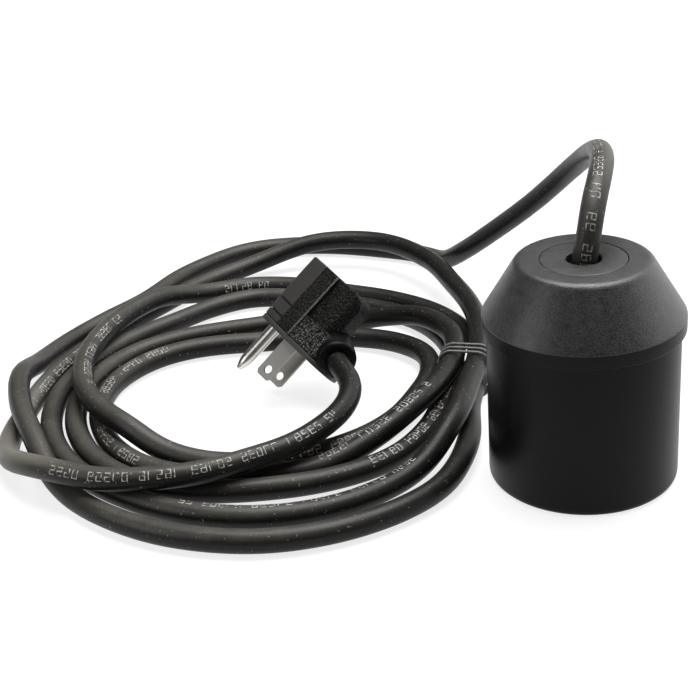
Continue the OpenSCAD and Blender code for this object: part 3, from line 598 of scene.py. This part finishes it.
# %% One figure, drawn flat
# A stroke goes from one corner to another of a figure 1 wide and 2 tall; lit says which of the
# seven strokes each digit from 0 to 9 has.
strokes = np.array([
    [0, 2, 1, 2], [1, 2, 1, 1], [1, 1, 1, 0], [0, 0, 1, 0], [0, 1, 0, 0], [0, 2, 0, 1],
    [0, 1, 1, 1]], dtype=float)
lit = ["012345", "12", "01346", "01236", "1256", "02356", "023456", "012", "0123456", "012356"]
figure_wide, figure_tall, stroke_half = 1.6, 2.8, 0.16


def figure_strips(number, along, turn, up):
    """Strips of one figure: each stroke is widened square to itself by stroke_half, cut in four
    along its length, and given as run and turn, where the turn is the height over the radius."""
    size = np.array([figure_wide, figure_tall / 2] * 2)
    line = strokes[[int(k) for k in lit[number]]] * size
    start, end = line[:, None, :2], line[:, None, 2:]
    t = np.linspace(-0.08, 1.08, 5)[None, :, None]
    middle = start + (end - start) * t
    way_along = (end - start) / np.linalg.norm(end - start, axis=2, keepdims=True)
    side = np.stack([-way_along[..., 1], way_along[..., 0]], -1) * stroke_half
    flat = np.stack([middle - side, middle + side], 2).reshape(-1, 2)
    flat = flat - np.array([figure_wide, figure_tall]) / 2
    return np.stack([along + up * flat[:, 0], turn + up * flat[:, 1] / cord_r], -1)


print("points in a figure eight", len(figure_strips(8, 0.0, 0.0, 1)))

# %% Where the print stands
bands = [  # run where it starts and ends, turn there in radians, and which way up
    [9, 24, -0.15, -0.1, 1], [29, 74, 0.0, -0.5, 1], [940, 962, 0.5, 0.5, 1],
    [1022, 1085, 0.8, 1.0, 1], [1178, 1232, 2.3, 2.1, -1], [1385, 1440, 1.2, 1.4, 1],
    [1452, 1484, 1.9, 2.2, -1], [1545, 1600, 1.6, 1.6, -1], [1990, 2072, 1.9, 1.7, -1],
    [2415, 2500, 1.35, 1.2, -1], [2845, 2925, 0.9, 0.8, 1], [2985, 3085, 2.5, 2.1, -1]]
pitch, word_length, print_height = 2.75, 6, 0.03
pick = np.random.default_rng(4)
marks = []
for start, end, turn_a, turn_b, up in bands:
    stops = np.arange(start, end, pitch)
    stops = stops[(np.arange(len(stops)) + pick.integers(0, 5)) % word_length != 0]
    turns = np.interp(stops, [start, end], [turn_a, turn_b])
    marks += [figure_strips(pick.integers(0, 10), *spot, up) for spot in zip(stops, turns)]
marks = np.concatenate(marks)
mark_points = on_cord(marks[:, 0], marks[:, 1], cord_r + print_height)
per_stroke = 10
strip = np.array([[0, 2, 3, 1], [2, 4, 5, 3], [4, 6, 7, 5], [6, 8, 9, 7]])
stroke_starts = np.arange(0, len(marks), per_stroke)[:, None, None]
mark_faces = (stroke_starts + strip).reshape(-1, 4)
print("printed strokes", len(marks) // per_stroke)

# %% Ink
# Printing ink on rubber: a chalky off-white that has flaked, so dark gaps break the figures.
worn_ink, tree, shader, place = new_finish("worn_printing_ink")
wear = add(tree, "TexNoise", {"Vector": place, "Scale": per_mm(1.1), "Detail": 3.0})
remains = add(tree, "MapRange", {
    "Value": wear.outputs["Fac"], "From Min": 0.38, "From Max": 0.56})
colour = add(tree, "Mix", {
    "Factor": remains.outputs["Result"], "A": linear("#2c2b28"), "B": linear("#a9a8a1")},
    data_type="RGBA")
join(tree, colour.outputs["Result"], shader, "Base Color")
shader.inputs["Roughness"].default_value = 0.6
print("finish", worn_ink.name)

# %% Jacket and marks in one mesh
jacket_count = jacket_points.shape[0] * jacket_points.shape[1]
cord_points = np.concatenate([jacket_points.reshape(-1, 3), mark_points])
cord_faces = np.concatenate([jacket_faces, mark_faces + jacket_count])
cord = make_piece("cord", cord_points, cord_faces, [rubber_jacket, worn_ink], 60, merge=False)
finish_index = np.repeat([0, 1], [len(jacket_faces), len(mark_faces)]).astype(np.int32)
cord.data.polygons.foreach_set("material_index", finish_index)
# The second value carries the jacket's painted light and shade.
kept_values = {
    "run": np.concatenate([np.repeat(jacket_run, jacket_sides), marks[:, 0]]) * MM,
    "upper": np.concatenate([jacket_upper.ravel(), np.ones(len(marks))])}
for layer_name, values in kept_values.items():
    layer = cord.data.attributes.new(layer_name, "FLOAT", "POINT")
    layer.data.foreach_set("value", values.astype(np.float32))
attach(cord, "housing")
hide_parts("cord_lead", "cord_coil", "cord_tail")
print("values kept with the cord", list(kept_values))

# %% [markdown]
# ## The tie
# A thin plastic-coated wire is wrapped three times round the strands beside the float. It takes
# in four of the five; the innermost has slipped out. A torus squeezed to fit would cut the
# strands. Seen along the cord the wire follows the outline of a bundle of circles, which has a
# neat formula: in each direction, the circle that reaches furthest gives the point.

# %% Tie finish
# Soft PVC over wire: mid grey with a low shine, so its three ribs stand out from the black cord.
tie_plastic, tree, shader, place = new_finish("tie_pvc")
scuffs = add(tree, "TexNoise", {"Vector": place, "Scale": per_mm(1.5), "Detail": 3.0})
colour = add(tree, "Mix", {
    "Factor": scuffs.outputs["Fac"], "A": linear("#454543"), "B": linear("#7a7a76")},
    data_type="RGBA")
join(tree, colour.outputs["Result"], shader, "Base Color")
shader.inputs["Roughness"].default_value = 0.38
print("finish", tie_plastic.name)

# %% Outline of the bundle
wire_r, wire_gap, slipped_out = 0.5, 0.25, 70
wrap_way = -15.0
tie_run = wrap_way + 360.0 * np.arange(1, passes + 1)
tie_run = tie_run[tie_run < way[-1]]
centres = np.stack([
    np.interp(tie_run, way, reach), np.interp(tie_run, way, cord_floor + lift)], -1)
centres = centres[centres[:, 0] > slipped_out]
look = np.linspace(0, 2 * np.pi, 240, endpoint=False)
normal = np.stack([np.cos(look), np.sin(look)], -1)
furthest = np.argmax(centres @ normal.T, axis=0)
outline = centres[furthest] + normal * (cord_r + wire_gap + wire_r)
print("strands in the tie", len(centres))

# %% Three wraps
out_way = np.array([np.cos(np.radians(wrap_way)), np.sin(np.radians(wrap_way)), 0.0])
cord_way = np.array([-out_way[1], out_way[0], 0.0])
wire_sides = 12
wire = np.linspace(0, 2 * np.pi, wire_sides, endpoint=False)


def wire_loop(shift):
    """One wrap: a round wire carried along the outline and shifted along the cord. Each point is
    outline + wire_r cos(w) normal, with shift + wire_r sin(w) across it."""
    radial = outline[:, None] + normal[:, None] * (wire_r * np.cos(wire))[None, :, None]
    across = shift + wire_r * np.sin(wire)[None, :, None]
    points = (np.array([*coil_middle, 0.0]) + radial[..., :1] * out_way
              + radial[..., 1:] * np.array([0, 0, 1.0]) + across * cord_way)
    return np.concatenate([points, points[:1]])


wrap_pitch = 3.1
wraps = [wire_loop(k * wrap_pitch) for k in (-1, 0, 1)]
tie_points = np.concatenate([w.reshape(-1, 3) for w in wraps])
one_wrap = grid_faces(*wraps[0].shape[:2])[:, ::-1]
wrap_size = wraps[0].shape[0] * wire_sides
tie_faces = np.concatenate([one_wrap + k * wrap_size for k in range(len(wraps))])
tie = make_piece("cord_wrap", tie_points, tie_faces, tie_plastic, 60)
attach(tie, "housing")
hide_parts("cord_tie")
print("wraps of the tie", len(wraps))

# %% [markdown]
# ## The plug
# A plug of this kind is moulded in one shot of soft PVC round its metal, so every edge is a small
# radius and the broad faces carry a coarse leather-like texture for grip, while the flat on the
# ground pin's side stays smooth. Where a thumb pulls it, beside the cord, the tips of the texture
# are rubbed grey; away from there only a sixth of them are grey, and that darker rest, the rear
# behind the waist with it, is painted shade. The grain is a pattern in the plug's own axes, kept
# with the mesh, so that it lies square to the plug although the plug lies tipped.

# %% Plug finish: where it is rubbed, and its painted shade
# Pebbled PVC: matt black with scattered grey tips. Its real pebbles are 0.3 mm, drawn coarser.
pebbled_pvc, tree, shader, place = new_finish("pebbled_pvc_plug")
own = add(tree, "Attribute", attribute_name="plug", attribute_type="GEOMETRY").outputs["Vector"]
axes = add(tree, "SeparateXYZ", {"Vector": own})
near_plate = add(tree, "MapRange", {
    "Value": axes.outputs["Z"], "From Min": -12.6 * MM, "From Max": -11.0 * MM})
cord_side = add(tree, "MapRange", {
    "Value": axes.outputs["X"], "From Min": -2.2 * MM, "From Max": -1.2 * MM})
rubbed = add(tree, "Math", {
    0: near_plate.outputs["Result"], 1: cord_side.outputs["Result"]}, operation="MULTIPLY")
# Away from the rubbed patch only a sixth of the grey tips remain: painted shade, darker there.
share = add(tree, "MapRange", {"Value": rubbed.outputs["Value"], "To Min": 0.16, "To Max": 1.0})
# A thin line along the ridge is lighter.
ridge_at, ridge_core, ridge_edge = -2.45, 0.35, 0.5
from_ridge = add(
    tree, "Math", {0: axes.outputs["X"], 1: ridge_at * MM}, operation="SUBTRACT")
off_ridge = add(tree, "Math", {0: from_ridge.outputs["Value"]}, operation="ABSOLUTE")
ridge = add(tree, "MapRange", {
    "Value": off_ridge.outputs["Value"], "From Min": ridge_edge * MM,
    "From Max": ridge_core * MM, "To Max": 0.55})
print("rubbed beside the cord and along a ridge at X", ridge_at)

# %% Plug finish: pebbles and their tips
pebble = add(tree, "TexVoronoi", {
    "Vector": own, "Scale": per_mm(0.8), "Randomness": 1.0}, feature="F1")
fine = add(tree, "TexNoise", {
    "Vector": own, "Scale": per_mm(0.55), "Detail": 4.0, "Roughness": 0.7})
height = add(tree, "Math", {
    0: pebble.outputs["Distance"], 1: fine.outputs["Fac"]}, operation="ADD")
bump = add(tree, "Bump", {"Height": height.outputs["Value"], "Distance": 0.5 * MM})
tips = add(tree, "MapRange", {"Value": fine.outputs["Fac"], "From Min": 0.5, "From Max": 0.62})
spots = add(tree, "Math", {
    0: tips.outputs["Result"], 1: share.outputs["Result"]}, operation="MULTIPLY")
worn = add(tree, "Math", {
    0: spots.outputs["Value"], 1: ridge.outputs["Result"]}, operation="MAXIMUM")
colour = add(tree, "Mix", {
    "Factor": worn.outputs["Value"], "A": linear("#060606"), "B": linear("#77766f")},
    data_type="RGBA")
join(tree, colour.outputs["Result"], shader, "Base Color")
join(tree, bump.outputs["Normal"], shader, "Normal")
shader.inputs["Roughness"].default_value = 0.55
shader.inputs["Specular IOR Level"].default_value = 0.12
# Smooth PVC of the flat side and the front plate: an even charcoal that looks greasy, not wet.
smooth_pvc = moulded("smooth_pvc_plug", "#373635", "#2f2e2d", 0.5, 0.7, 0.03)
# Soft PVC of the strain relief: the blackest part, with a dull edge of light round its mouth.
boot_pvc = moulded("soft_pvc_boot", "#090909", "#060606", 0.45, 0.8, 0.03, 0.12)
print("plug finishes", pebbled_pvc.name, smooth_pvc.name, boot_pvc.name)

# %% [markdown]
# ## The plug's moulding
# The body is a loft: one rounded outline carried along the blades' direction. A box with bevels
# would need cuts for the ridge and the grooves; here the ridge is part of the outline, and the
# outline is drawn in a little wherever there is a groove, a lip or a rounded rear corner.

# %% Loft helpers
def loft(outlines, heights):
    """Closed outlines (x, y), each placed at its height z along the blades."""
    z = np.asarray(heights, dtype=float)[:, None, None]
    rings = np.stack(outlines)
    return on_plug(np.concatenate([rings, z + 0 * rings[..., :1]], -1))


def drawn_in(outline, by):
    """An outline, or a stack of them, moved inwards along its normals, which are its tangents
    turned a quarter: p - by (t_y, -t_x)."""
    tangent = np.roll(outline, -1, axis=-2) - np.roll(outline, 1, axis=-2)
    tangent /= np.linalg.norm(tangent, axis=-1, keepdims=True) + 1e-9
    return outline - by * np.stack([tangent[..., 1], -tangent[..., 0]], -1)


def ends(rings):
    """Faces of a loft: quads all along and one many-sided face at each end."""
    rows, columns = rings.shape[:2]
    first, last = range(columns), range(rows * columns - 1, (rows - 1) * columns - 1, -1)
    return grid_faces(rows, columns)[:, ::-1].tolist() + [list(first), list(last)]


around = np.linspace(0, 2 * np.pi, 32, endpoint=False)[:, None]
circle = np.hstack([np.cos(around), np.sin(around)])
print("a circle of radius 4 drawn in by 0.5 reaches", round(drawn_in(4 * circle, 0.5).max(), 2))

# %% Outlines of the two halves
# Both halves share the flat side and the ridge; behind the waist the broad face lies lower.
flat_x, flat_y, broad_y, waist_y = -18.2, 3.5, 9.5, 8.6
flat_end = [-10.2, -7.6]
ridge_points = [[-3.1, -9.35], [-2.85, -9.9], [-2.05, -9.9]]
flat_side = [[flat_x, flat_y], [flat_x, -flat_y], flat_end, *ridge_points]
front_half = [*flat_side, [-1.8, -broad_y], [11, -broad_y], [12, -8.5]]
rear_half = [*flat_side, [-1.8, -waist_y], [7.8, -waist_y], [10.8, -5.5]]


def whole(half):
    """The other half of an outline is the same one mirrored in Y and walked backwards."""
    return np.array(half + [[x, -y] for x, y in half[:1:-1]])


corner_radii = [1.0, 1.0, 0.7, 0.15, 0.12, 0.12, 0.15, 0.8, 0.8]
corner_radii += corner_radii[:1:-1]
front_outline = rounded(whole(front_half), corner_radii, 8)
rear_outline = rounded(whole(rear_half), corner_radii, 8)
print("points in the outline", len(front_outline))

# %% Rings behind the waist
rear_z, rear_x = -30.0, 10.8
lip, rear_turn, flat_turn = 0.5, 5.0, 1.5


def quarter(radius, up):
    """How far a rounded edge stands in at a height over its foot: r - sqrt(r^2 - (r - up)^2)."""
    return radius - np.sqrt(radius**2 - np.clip(radius - up, 0, radius) ** 2)


def rear_rings(heights):
    """The rear outline at each height: drawn in over the lip, and cut off where the two rear
    corners, seen from the side, are quarter circles of rear_turn and flat_turn."""
    up = np.asarray(heights)[:, None, None] - rear_z
    ring = drawn_in(rear_outline, quarter(lip, up))
    low, high = flat_x + quarter(flat_turn, up), rear_x - quarter(rear_turn, up)
    return np.stack([np.clip(ring[..., 0], low[..., 0], high[..., 0]), ring[..., 1]], -1)


rear_arc = np.linspace(0, np.pi / 2, 16)
rear_heights = np.concatenate([rear_z + rear_turn * (1 - np.cos(rear_arc)), [-12.5]])
behind_waist = rear_rings(rear_heights)
print("rings behind the waist", len(behind_waist))

# %% Rings before the waist
waist_z, front_z = -12.0, -2.05
groove_places, groove_half, groove_deep = np.array([-10.6, -5.2]), 0.41, 0.7
lean, lean_over = 0.35, 10


def front_rings(heights):
    """The front outline at each height: a small lip, the smooth side leaning in a little towards
    the plate, and drawn in by groove_deep there wherever a groove crosses it."""
    z = np.asarray(heights)[:, None, None]
    ring = drawn_in(front_outline, quarter(lip, front_z - z))
    in_groove = np.any(np.abs(z - groove_places) < groove_half, axis=-1, keepdims=True)
    inwards = groove_deep * in_groove + lean * (z - waist_z) / lean_over
    smooth_side = front_outline[:, :1] < flat_end[0] + 0.3
    return np.where(smooth_side, drawn_in(ring, inwards), ring)


lip_arc = np.linspace(0, np.pi / 2, 5)
wall_heights = [-11.9, -11.02, -11.0, -10.2, -10.18, -5.62, -5.6, -4.8, -4.78]
front_heights = np.concatenate([wall_heights, front_z - lip + lip * np.sin(lip_arc)])
rings = np.concatenate([behind_waist, front_rings(front_heights)])
moulding_points = loft(rings, np.concatenate([rear_heights, front_heights]))
print("rings of the moulding", len(rings), "of", rings.shape[1], "points")

# %% [markdown]
# ## The receptacle
# The rear face takes another plug: two slots and a round hole. A boolean would cut them, but it
# leaves thin stray faces beside the rounded rim. So the rear face is filled as one flat area with
# three holes, and each hole gets its own wall and floor.

# %% Outlines of the three holes
blade_apart, slot_long, slot_wide = 12.7, 7.3, 2.4
pin_x, bore_r, hole_floor = -11.9, 2.6, -18.0


def oblong(x, y, long, wide):
    """Four corners of a slot."""
    corner = np.array([[-1, -1], [1, -1], [1, 1], [-1, 1]])
    return np.array([x, y]) + corner * np.array([long, wide]) / 2


holes = [
    oblong(0, blade_apart / 2, slot_long, slot_wide),
    oblong(0, -blade_apart / 2, slot_long, slot_wide), np.array([[pin_x, 0]]) + bore_r * circle]
print("holes in the rear face", len(holes))

# %% Rear face, walls and floors
flat_loops = [rings[0], *holes]
rear_face = tessellate_polygon([
    [Vector((*map(float, q), 0.0)) for q in loop] for loop in flat_loops])
hole_points = [
    on_plug(np.hstack([hole, np.full((len(hole), 1), z)]))
    for z in (rear_z, hole_floor) for hole in holes]
sizes = [len(hole) for hole in holes]
outline_size = len(front_outline)
starts = len(rings) * outline_size + np.concatenate([[0], np.cumsum(sizes + sizes)])[:-1]
walls = []
for mouth, floor_start, count in zip(starts[:3], starts[3:], sizes):
    j = np.arange(count)
    following = (j + 1) % count
    walls += np.stack([
        mouth + j, mouth + following, floor_start + following, floor_start + j], -1).tolist()
    walls.append((floor_start + j).tolist())
lid_index = np.concatenate([np.arange(outline_size), starts[0] + np.arange(sum(sizes))])
lid = [[int(lid_index[i]) for i in face] for face in rear_face]
print("faces of the receptacle", len(walls) + len(lid))

# %% The moulding as one mesh
def outward(piece):
    """Faces turned so that each closed shell faces out."""
    shape = bmesh.new()
    shape.from_mesh(piece.data)
    bmesh.ops.recalc_face_normals(shape, faces=shape.faces)
    shape.to_mesh(piece.data)
    shape.free()


# The rear end of the loft isn't used: the lid with the three holes closes it.
*sides, _, front_end = ends(moulding_points)
moulding = make_piece(
    "plug_body", np.vstack([moulding_points.reshape(-1, 3), *hole_points]),
    sides + [front_end] + lid + walls, [pebbled_pvc, smooth_pvc], 30)
outward(moulding)
own_places = (vertex_places(moulding.data) - plug_place) @ plug_turn
own_layer = moulding.data.attributes.new("plug", "FLOAT_VECTOR", "POINT")
own_layer.data.foreach_set("vector", (own_places * MM).astype(np.float32).ravel())
on_flat = face_highest(moulding.data, own_places[:, 0]) < flat_end[0] + 0.6
off_rear = face_highest(moulding.data, own_places[:, 2]) > rear_z + 0.1
moulding.data.polygons.foreach_set("material_index", (on_flat & off_rear).astype(np.int32))
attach(moulding, "housing")
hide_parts("plug_moulding")
print("smooth faces of the moulding", int((on_flat & off_rear).sum()))

# %% [markdown]
# ## Front plate and strain relief
# The plate is a thin slab with a tongue under the strain relief. Its edge is rounded by drawing
# the same outline in at both faces. The strain relief is a short sleeve, turned like the float,
# with a rolled mouth that holds the cord.

# %% Front plate
plate_corners = [
    [flat_x, flat_y], [flat_x, -flat_y], flat_end, [-2.4, -9.5], [11, -9.5], [16.5, -7.5],
    [19.4, -4], [19.4, 4], [16.5, 7.5], [11, 9.5], [-2.4, 9.5], [-10.2, 7.6]]
plate_outline = rounded(plate_corners, [2.5, 2.5, 1.2, 1, 2, 2, 2, 2, 2, 2, 1, 1.2], 8)
edge_steps = [0.4, 0.1, 0.0, 0.0, 0.1, 0.4]
edge_heights = [-2.0, -1.9, -1.6, -0.4, -0.1, 0.0]
plate_points = loft([drawn_in(plate_outline, by) for by in edge_steps], edge_heights)
plate = make_piece("plug_plate", plate_points, ends(plate_points), smooth_pvc, 40)
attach(plate, "housing")
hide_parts("front_plate")
print("plate", np.round(np.ptp(plate_outline, axis=0), 1), "mm")

# %% Strain relief
boot_r, mouth_r, cord_seat = 7.6, 4.15, boot_length - boot_seat
boot_profile = rounded(
    [[0, -3], [boot_r, -3], [boot_r, 1.5], [7.45, 9.2], [6.3, boot_length],
     [mouth_r, boot_length], [mouth_r, cord_seat], [0, cord_seat]],
    [0, 0.3, 1.0, 0.9, 0.5, 0.2, 0.2, 0], 8)
boot_rings, boot_faces = turned(boot_profile, 64)
boot = make_piece("cord_boot", on_boot(boot_rings[..., [2, 0, 1]]), boot_faces, boot_pvc, 40)
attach(boot, "housing")
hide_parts("strain_relief")
print("sleeve", 2 * boot_r, "mm across, with the cord", boot_seat, "mm deep in it")

# %% [markdown]
# ## Metal and inner pieces
# Hard pieces keep their measured shape and only get a finish. The blades are nickel-plated brass
# with a darker tint than the ground pin's, painted shade for their dull look; the ground pin is
# turned and is drawn here with the tapered tip that lets it find its hole. Inside the float are
# steel, brass, foam and nylon.
# Metal has hardly a colour of its own: it shows the room, so its roughness matters most.

# %% Plated and rolled metal
def metal(name, tint, rough):
    """Plated or rolled metal: patches of 1.2 mm, a little duller or brighter, over one colour."""
    finish, tree, shader, place = new_finish(name)
    patches = add(tree, "TexNoise", {"Vector": place, "Scale": per_mm(1.2), "Detail": 6.0})
    skin = add(tree, "MapRange", {
        "Value": patches.outputs["Fac"], "To Min": rough - 0.06, "To Max": rough + 0.1})
    join(tree, skin.outputs["Result"], shader, "Roughness")
    shader.inputs["Base Color"].default_value = linear(tint)
    shader.inputs["Metallic"].default_value = 1.0
    return finish


# Turned and plated: bright along its lit side, dark along its edges.
bright_nickel = metal("bright_nickel_plate", "#d6d4ce", 0.3)
print("finish", bright_nickel.name)

# %% Finishes of the pieces kept from the model
slot_finish = {
    # Nickel plate of the blades and straps, tinted darker than the pin's: painted shade, a soft
    # satin grey without sharp reflections.
    "plated": metal("shade_darkened_nickel_plate", "#8e8c87", 0.42),
    # Zinc-plated and stamped steel: cool and bright, a little blurred.
    "steel": metal("zinc_plated_steel", "#b9bcc0", 0.3),
    # Stamped brass: warm yellow edges that mark the terminals.
    "brass": metal("stamped_brass", "#c8a860", 0.32),
    "soft_rubber": boot_pvc,
    # Closed-cell polythene foam: chalky off-white with visible cells and hardly any shine.
    "foam": moulded("polythene_foam", "#e6e1d4", "#d8d2c2", 0.85, 1.6, 0.3),
    # Natural nylon: milky ivory with a faint shine.
    "capsule": moulded("nylon_capsule", "#d9d3c0", "#cfc8b4", 0.45, 1.0, 0.03),
    # Phenolic resin of a snap switch: hard, dark red and fairly glossy.
    "phenolic": moulded("phenolic_case", "#6e1f1b", "#5c1916", 0.3, 0.9, 0.02, 0.5),
    # PVC of the two cores: plain black and plain white, smoother than the jacket.
    "core_black": moulded("black_core", "#161616", "#121212", 0.45, 0.8, 0.02),
    "core_white": moulded("white_core", "#e9e6dd", "#dfdbd0", 0.45, 0.8, 0.02),
}
print("finishes by slot", sorted(slot_finish))

# %% Ground pin
# One solid pin with the receptacle's ground tube behind it, turned about its own axis.
pin_r, tip_r, collar_r = 2.4, 0.9, 3.0
tube_r, tube_back, tube_floor = 3.4, -27.7, -13
pin_profile = rounded(
    [[0, tube_floor], [bore_r, tube_floor], [bore_r, tube_back], [tube_r, tube_back],
     [tube_r, -2.2], [collar_r, -2.2], [collar_r, -2.0], [pin_r, -2.0], [pin_r, 16.8],
     [tip_r, 20.6], [0, 20.6]],
    [0, 0.2, 0.2, 0.2, 0.2, 0.1, 0.1, 0.05, 2.2, 0.5, 0])
pin_rings, pin_faces = turned(pin_profile, 48)
pin = make_piece("plug_pin", on_plug(pin_rings + [pin_x, 0, 0]), pin_faces, bright_nickel, 40)
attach(pin, "housing")
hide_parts("ground_pin")
print("pin", 2 * pin_r, "mm thick")

# %% Pieces kept from the model
slot_of = {part["node"]: part["material_slot"] for part in frame["record"]["subparts"]}
kept = [node for node, thing in frame["nodes"].items() if not thing.hide_render]
for node in kept:
    thing = frame["nodes"][node]
    thing.data.materials.clear()
    thing.data.materials.append(slot_finish[slot_of[node]])
print("pieces kept from the model", len(kept))

# %% [markdown]
# ## One free cord
# The cord isn't fixed to anything but the float, so it bends. In this scene it is attached to the
# housing like every other piece.

# %% [markdown]
# ## Table and light
# A white table in a dark room that is open to a bright window on the right. One large soft lamp
# overhead draws the streaks on the cord, a small card at the left lifts the turned end of the
# loops, and the window gives the shells their bright right edge. Black things show what is around
# them, so the dark part of the room is what keeps them black; more lamps would turn them grey.

# %% Table finish
# Matt white paint. It is grey to the lamps, so that it throws little light up under the loops,
# and it glows for every straight, mirrored or see-through look at it: an even white ground. The
# glow is weaker close by, which keeps the shadows of the loops.
table_paint, tree, shader, place = new_finish("white_table")
shader.inputs["Base Color"].default_value = linear("#909090")
shader.inputs["Roughness"].default_value = 0.9
shader.inputs["Specular IOR Level"].default_value = 0.0
shader.inputs["Emission Color"].default_value = linear("#ffffff")
ray = add(tree, "LightPath").outputs
straight = add(tree, "Math", {
    0: ray["Is Camera Ray"], 1: ray["Is Glossy Ray"]}, operation="MAXIMUM")
looked_at = add(tree, "Math", {
    0: straight.outputs["Value"], 1: ray["Is Transmission Ray"]}, operation="MAXIMUM")
from_middle = add(tree, "VectorMath", {0: place}, operation="LENGTH")
near, far, near_glow = 300, 1000, 0.78
strength = add(tree, "MapRange", {
    "Value": from_middle.outputs["Value"], "From Min": near * MM, "From Max": far * MM,
    "To Min": near_glow, "To Max": 1.0})
glow = add(tree, "Math", {
    0: looked_at.outputs["Value"], 1: strength.outputs["Result"]}, operation="MULTIPLY")
join(tree, glow.outputs["Value"], shader, "Emission Strength")
print("glow of the table", near_glow, "within", near, "mm and 1 beyond", far, "mm")

# %% Table
table_half = 30000.0
corners = table_half * np.array([[-1, -1, 0], [1, -1, 0], [1, 1, 0], [-1, 1, 0]])
floor = make_piece("table", corners, [[0, 1, 2, 3]], table_paint)
print("table", 2 * table_half * MM, "m square, so that its edge lies beyond every view")

# %% Room
# The sky is nearly dark, and brightens smoothly towards one side: the window.
window_way, dark, bright = (0.94, 0.34, 0.0), 0.05, 2.0
world = bpy.data.worlds.new("room")
scene.world = world
world.use_nodes = True
room = world.node_tree
room.nodes.clear()
towards = add(room, "TexCoord").outputs["Generated"]
facing = add(room, "VectorMath", {0: towards, 1: window_way}, operation="DOT_PRODUCT")
depth = add(room, "MapRange", {
    "Value": facing.outputs["Value"], "From Min": 0.4, "From Max": 1.0,
    "To Min": dark, "To Max": bright}, interpolation_type="SMOOTHSTEP")
background = add(room, "Background", {
    "Color": linear("#ffffff"), "Strength": depth.outputs["Result"]})
add(room, "OutputWorld", {"Surface": background.outputs["Background"]})
print("room from", dark, "to", bright, "towards", window_way)

# %% Lamps
def lamp(name, place, aim, size, power):
    """A square area lamp at a place in millimetres, turned to face its aim."""
    data = bpy.data.lights.new(name, "AREA")
    data.size, data.energy = size * MM, power
    thing = bpy.data.objects.new(name, data)
    thing.location = np.array(place, dtype=float) * MM
    thing.rotation_euler = (Vector(aim) - Vector(place)).to_track_quat("-Z", "Y").to_euler()
    scene.collection.objects.link(thing)
    return thing


lamps = [
    lamp("overhead", (80, 200, 850), (-30, 60, 0), 700, 14),
    lamp("left_card", (-400, -120, 180), (-195, 30, 10), 200, 0.4)]
print("lamps", [thing.name for thing in lamps])
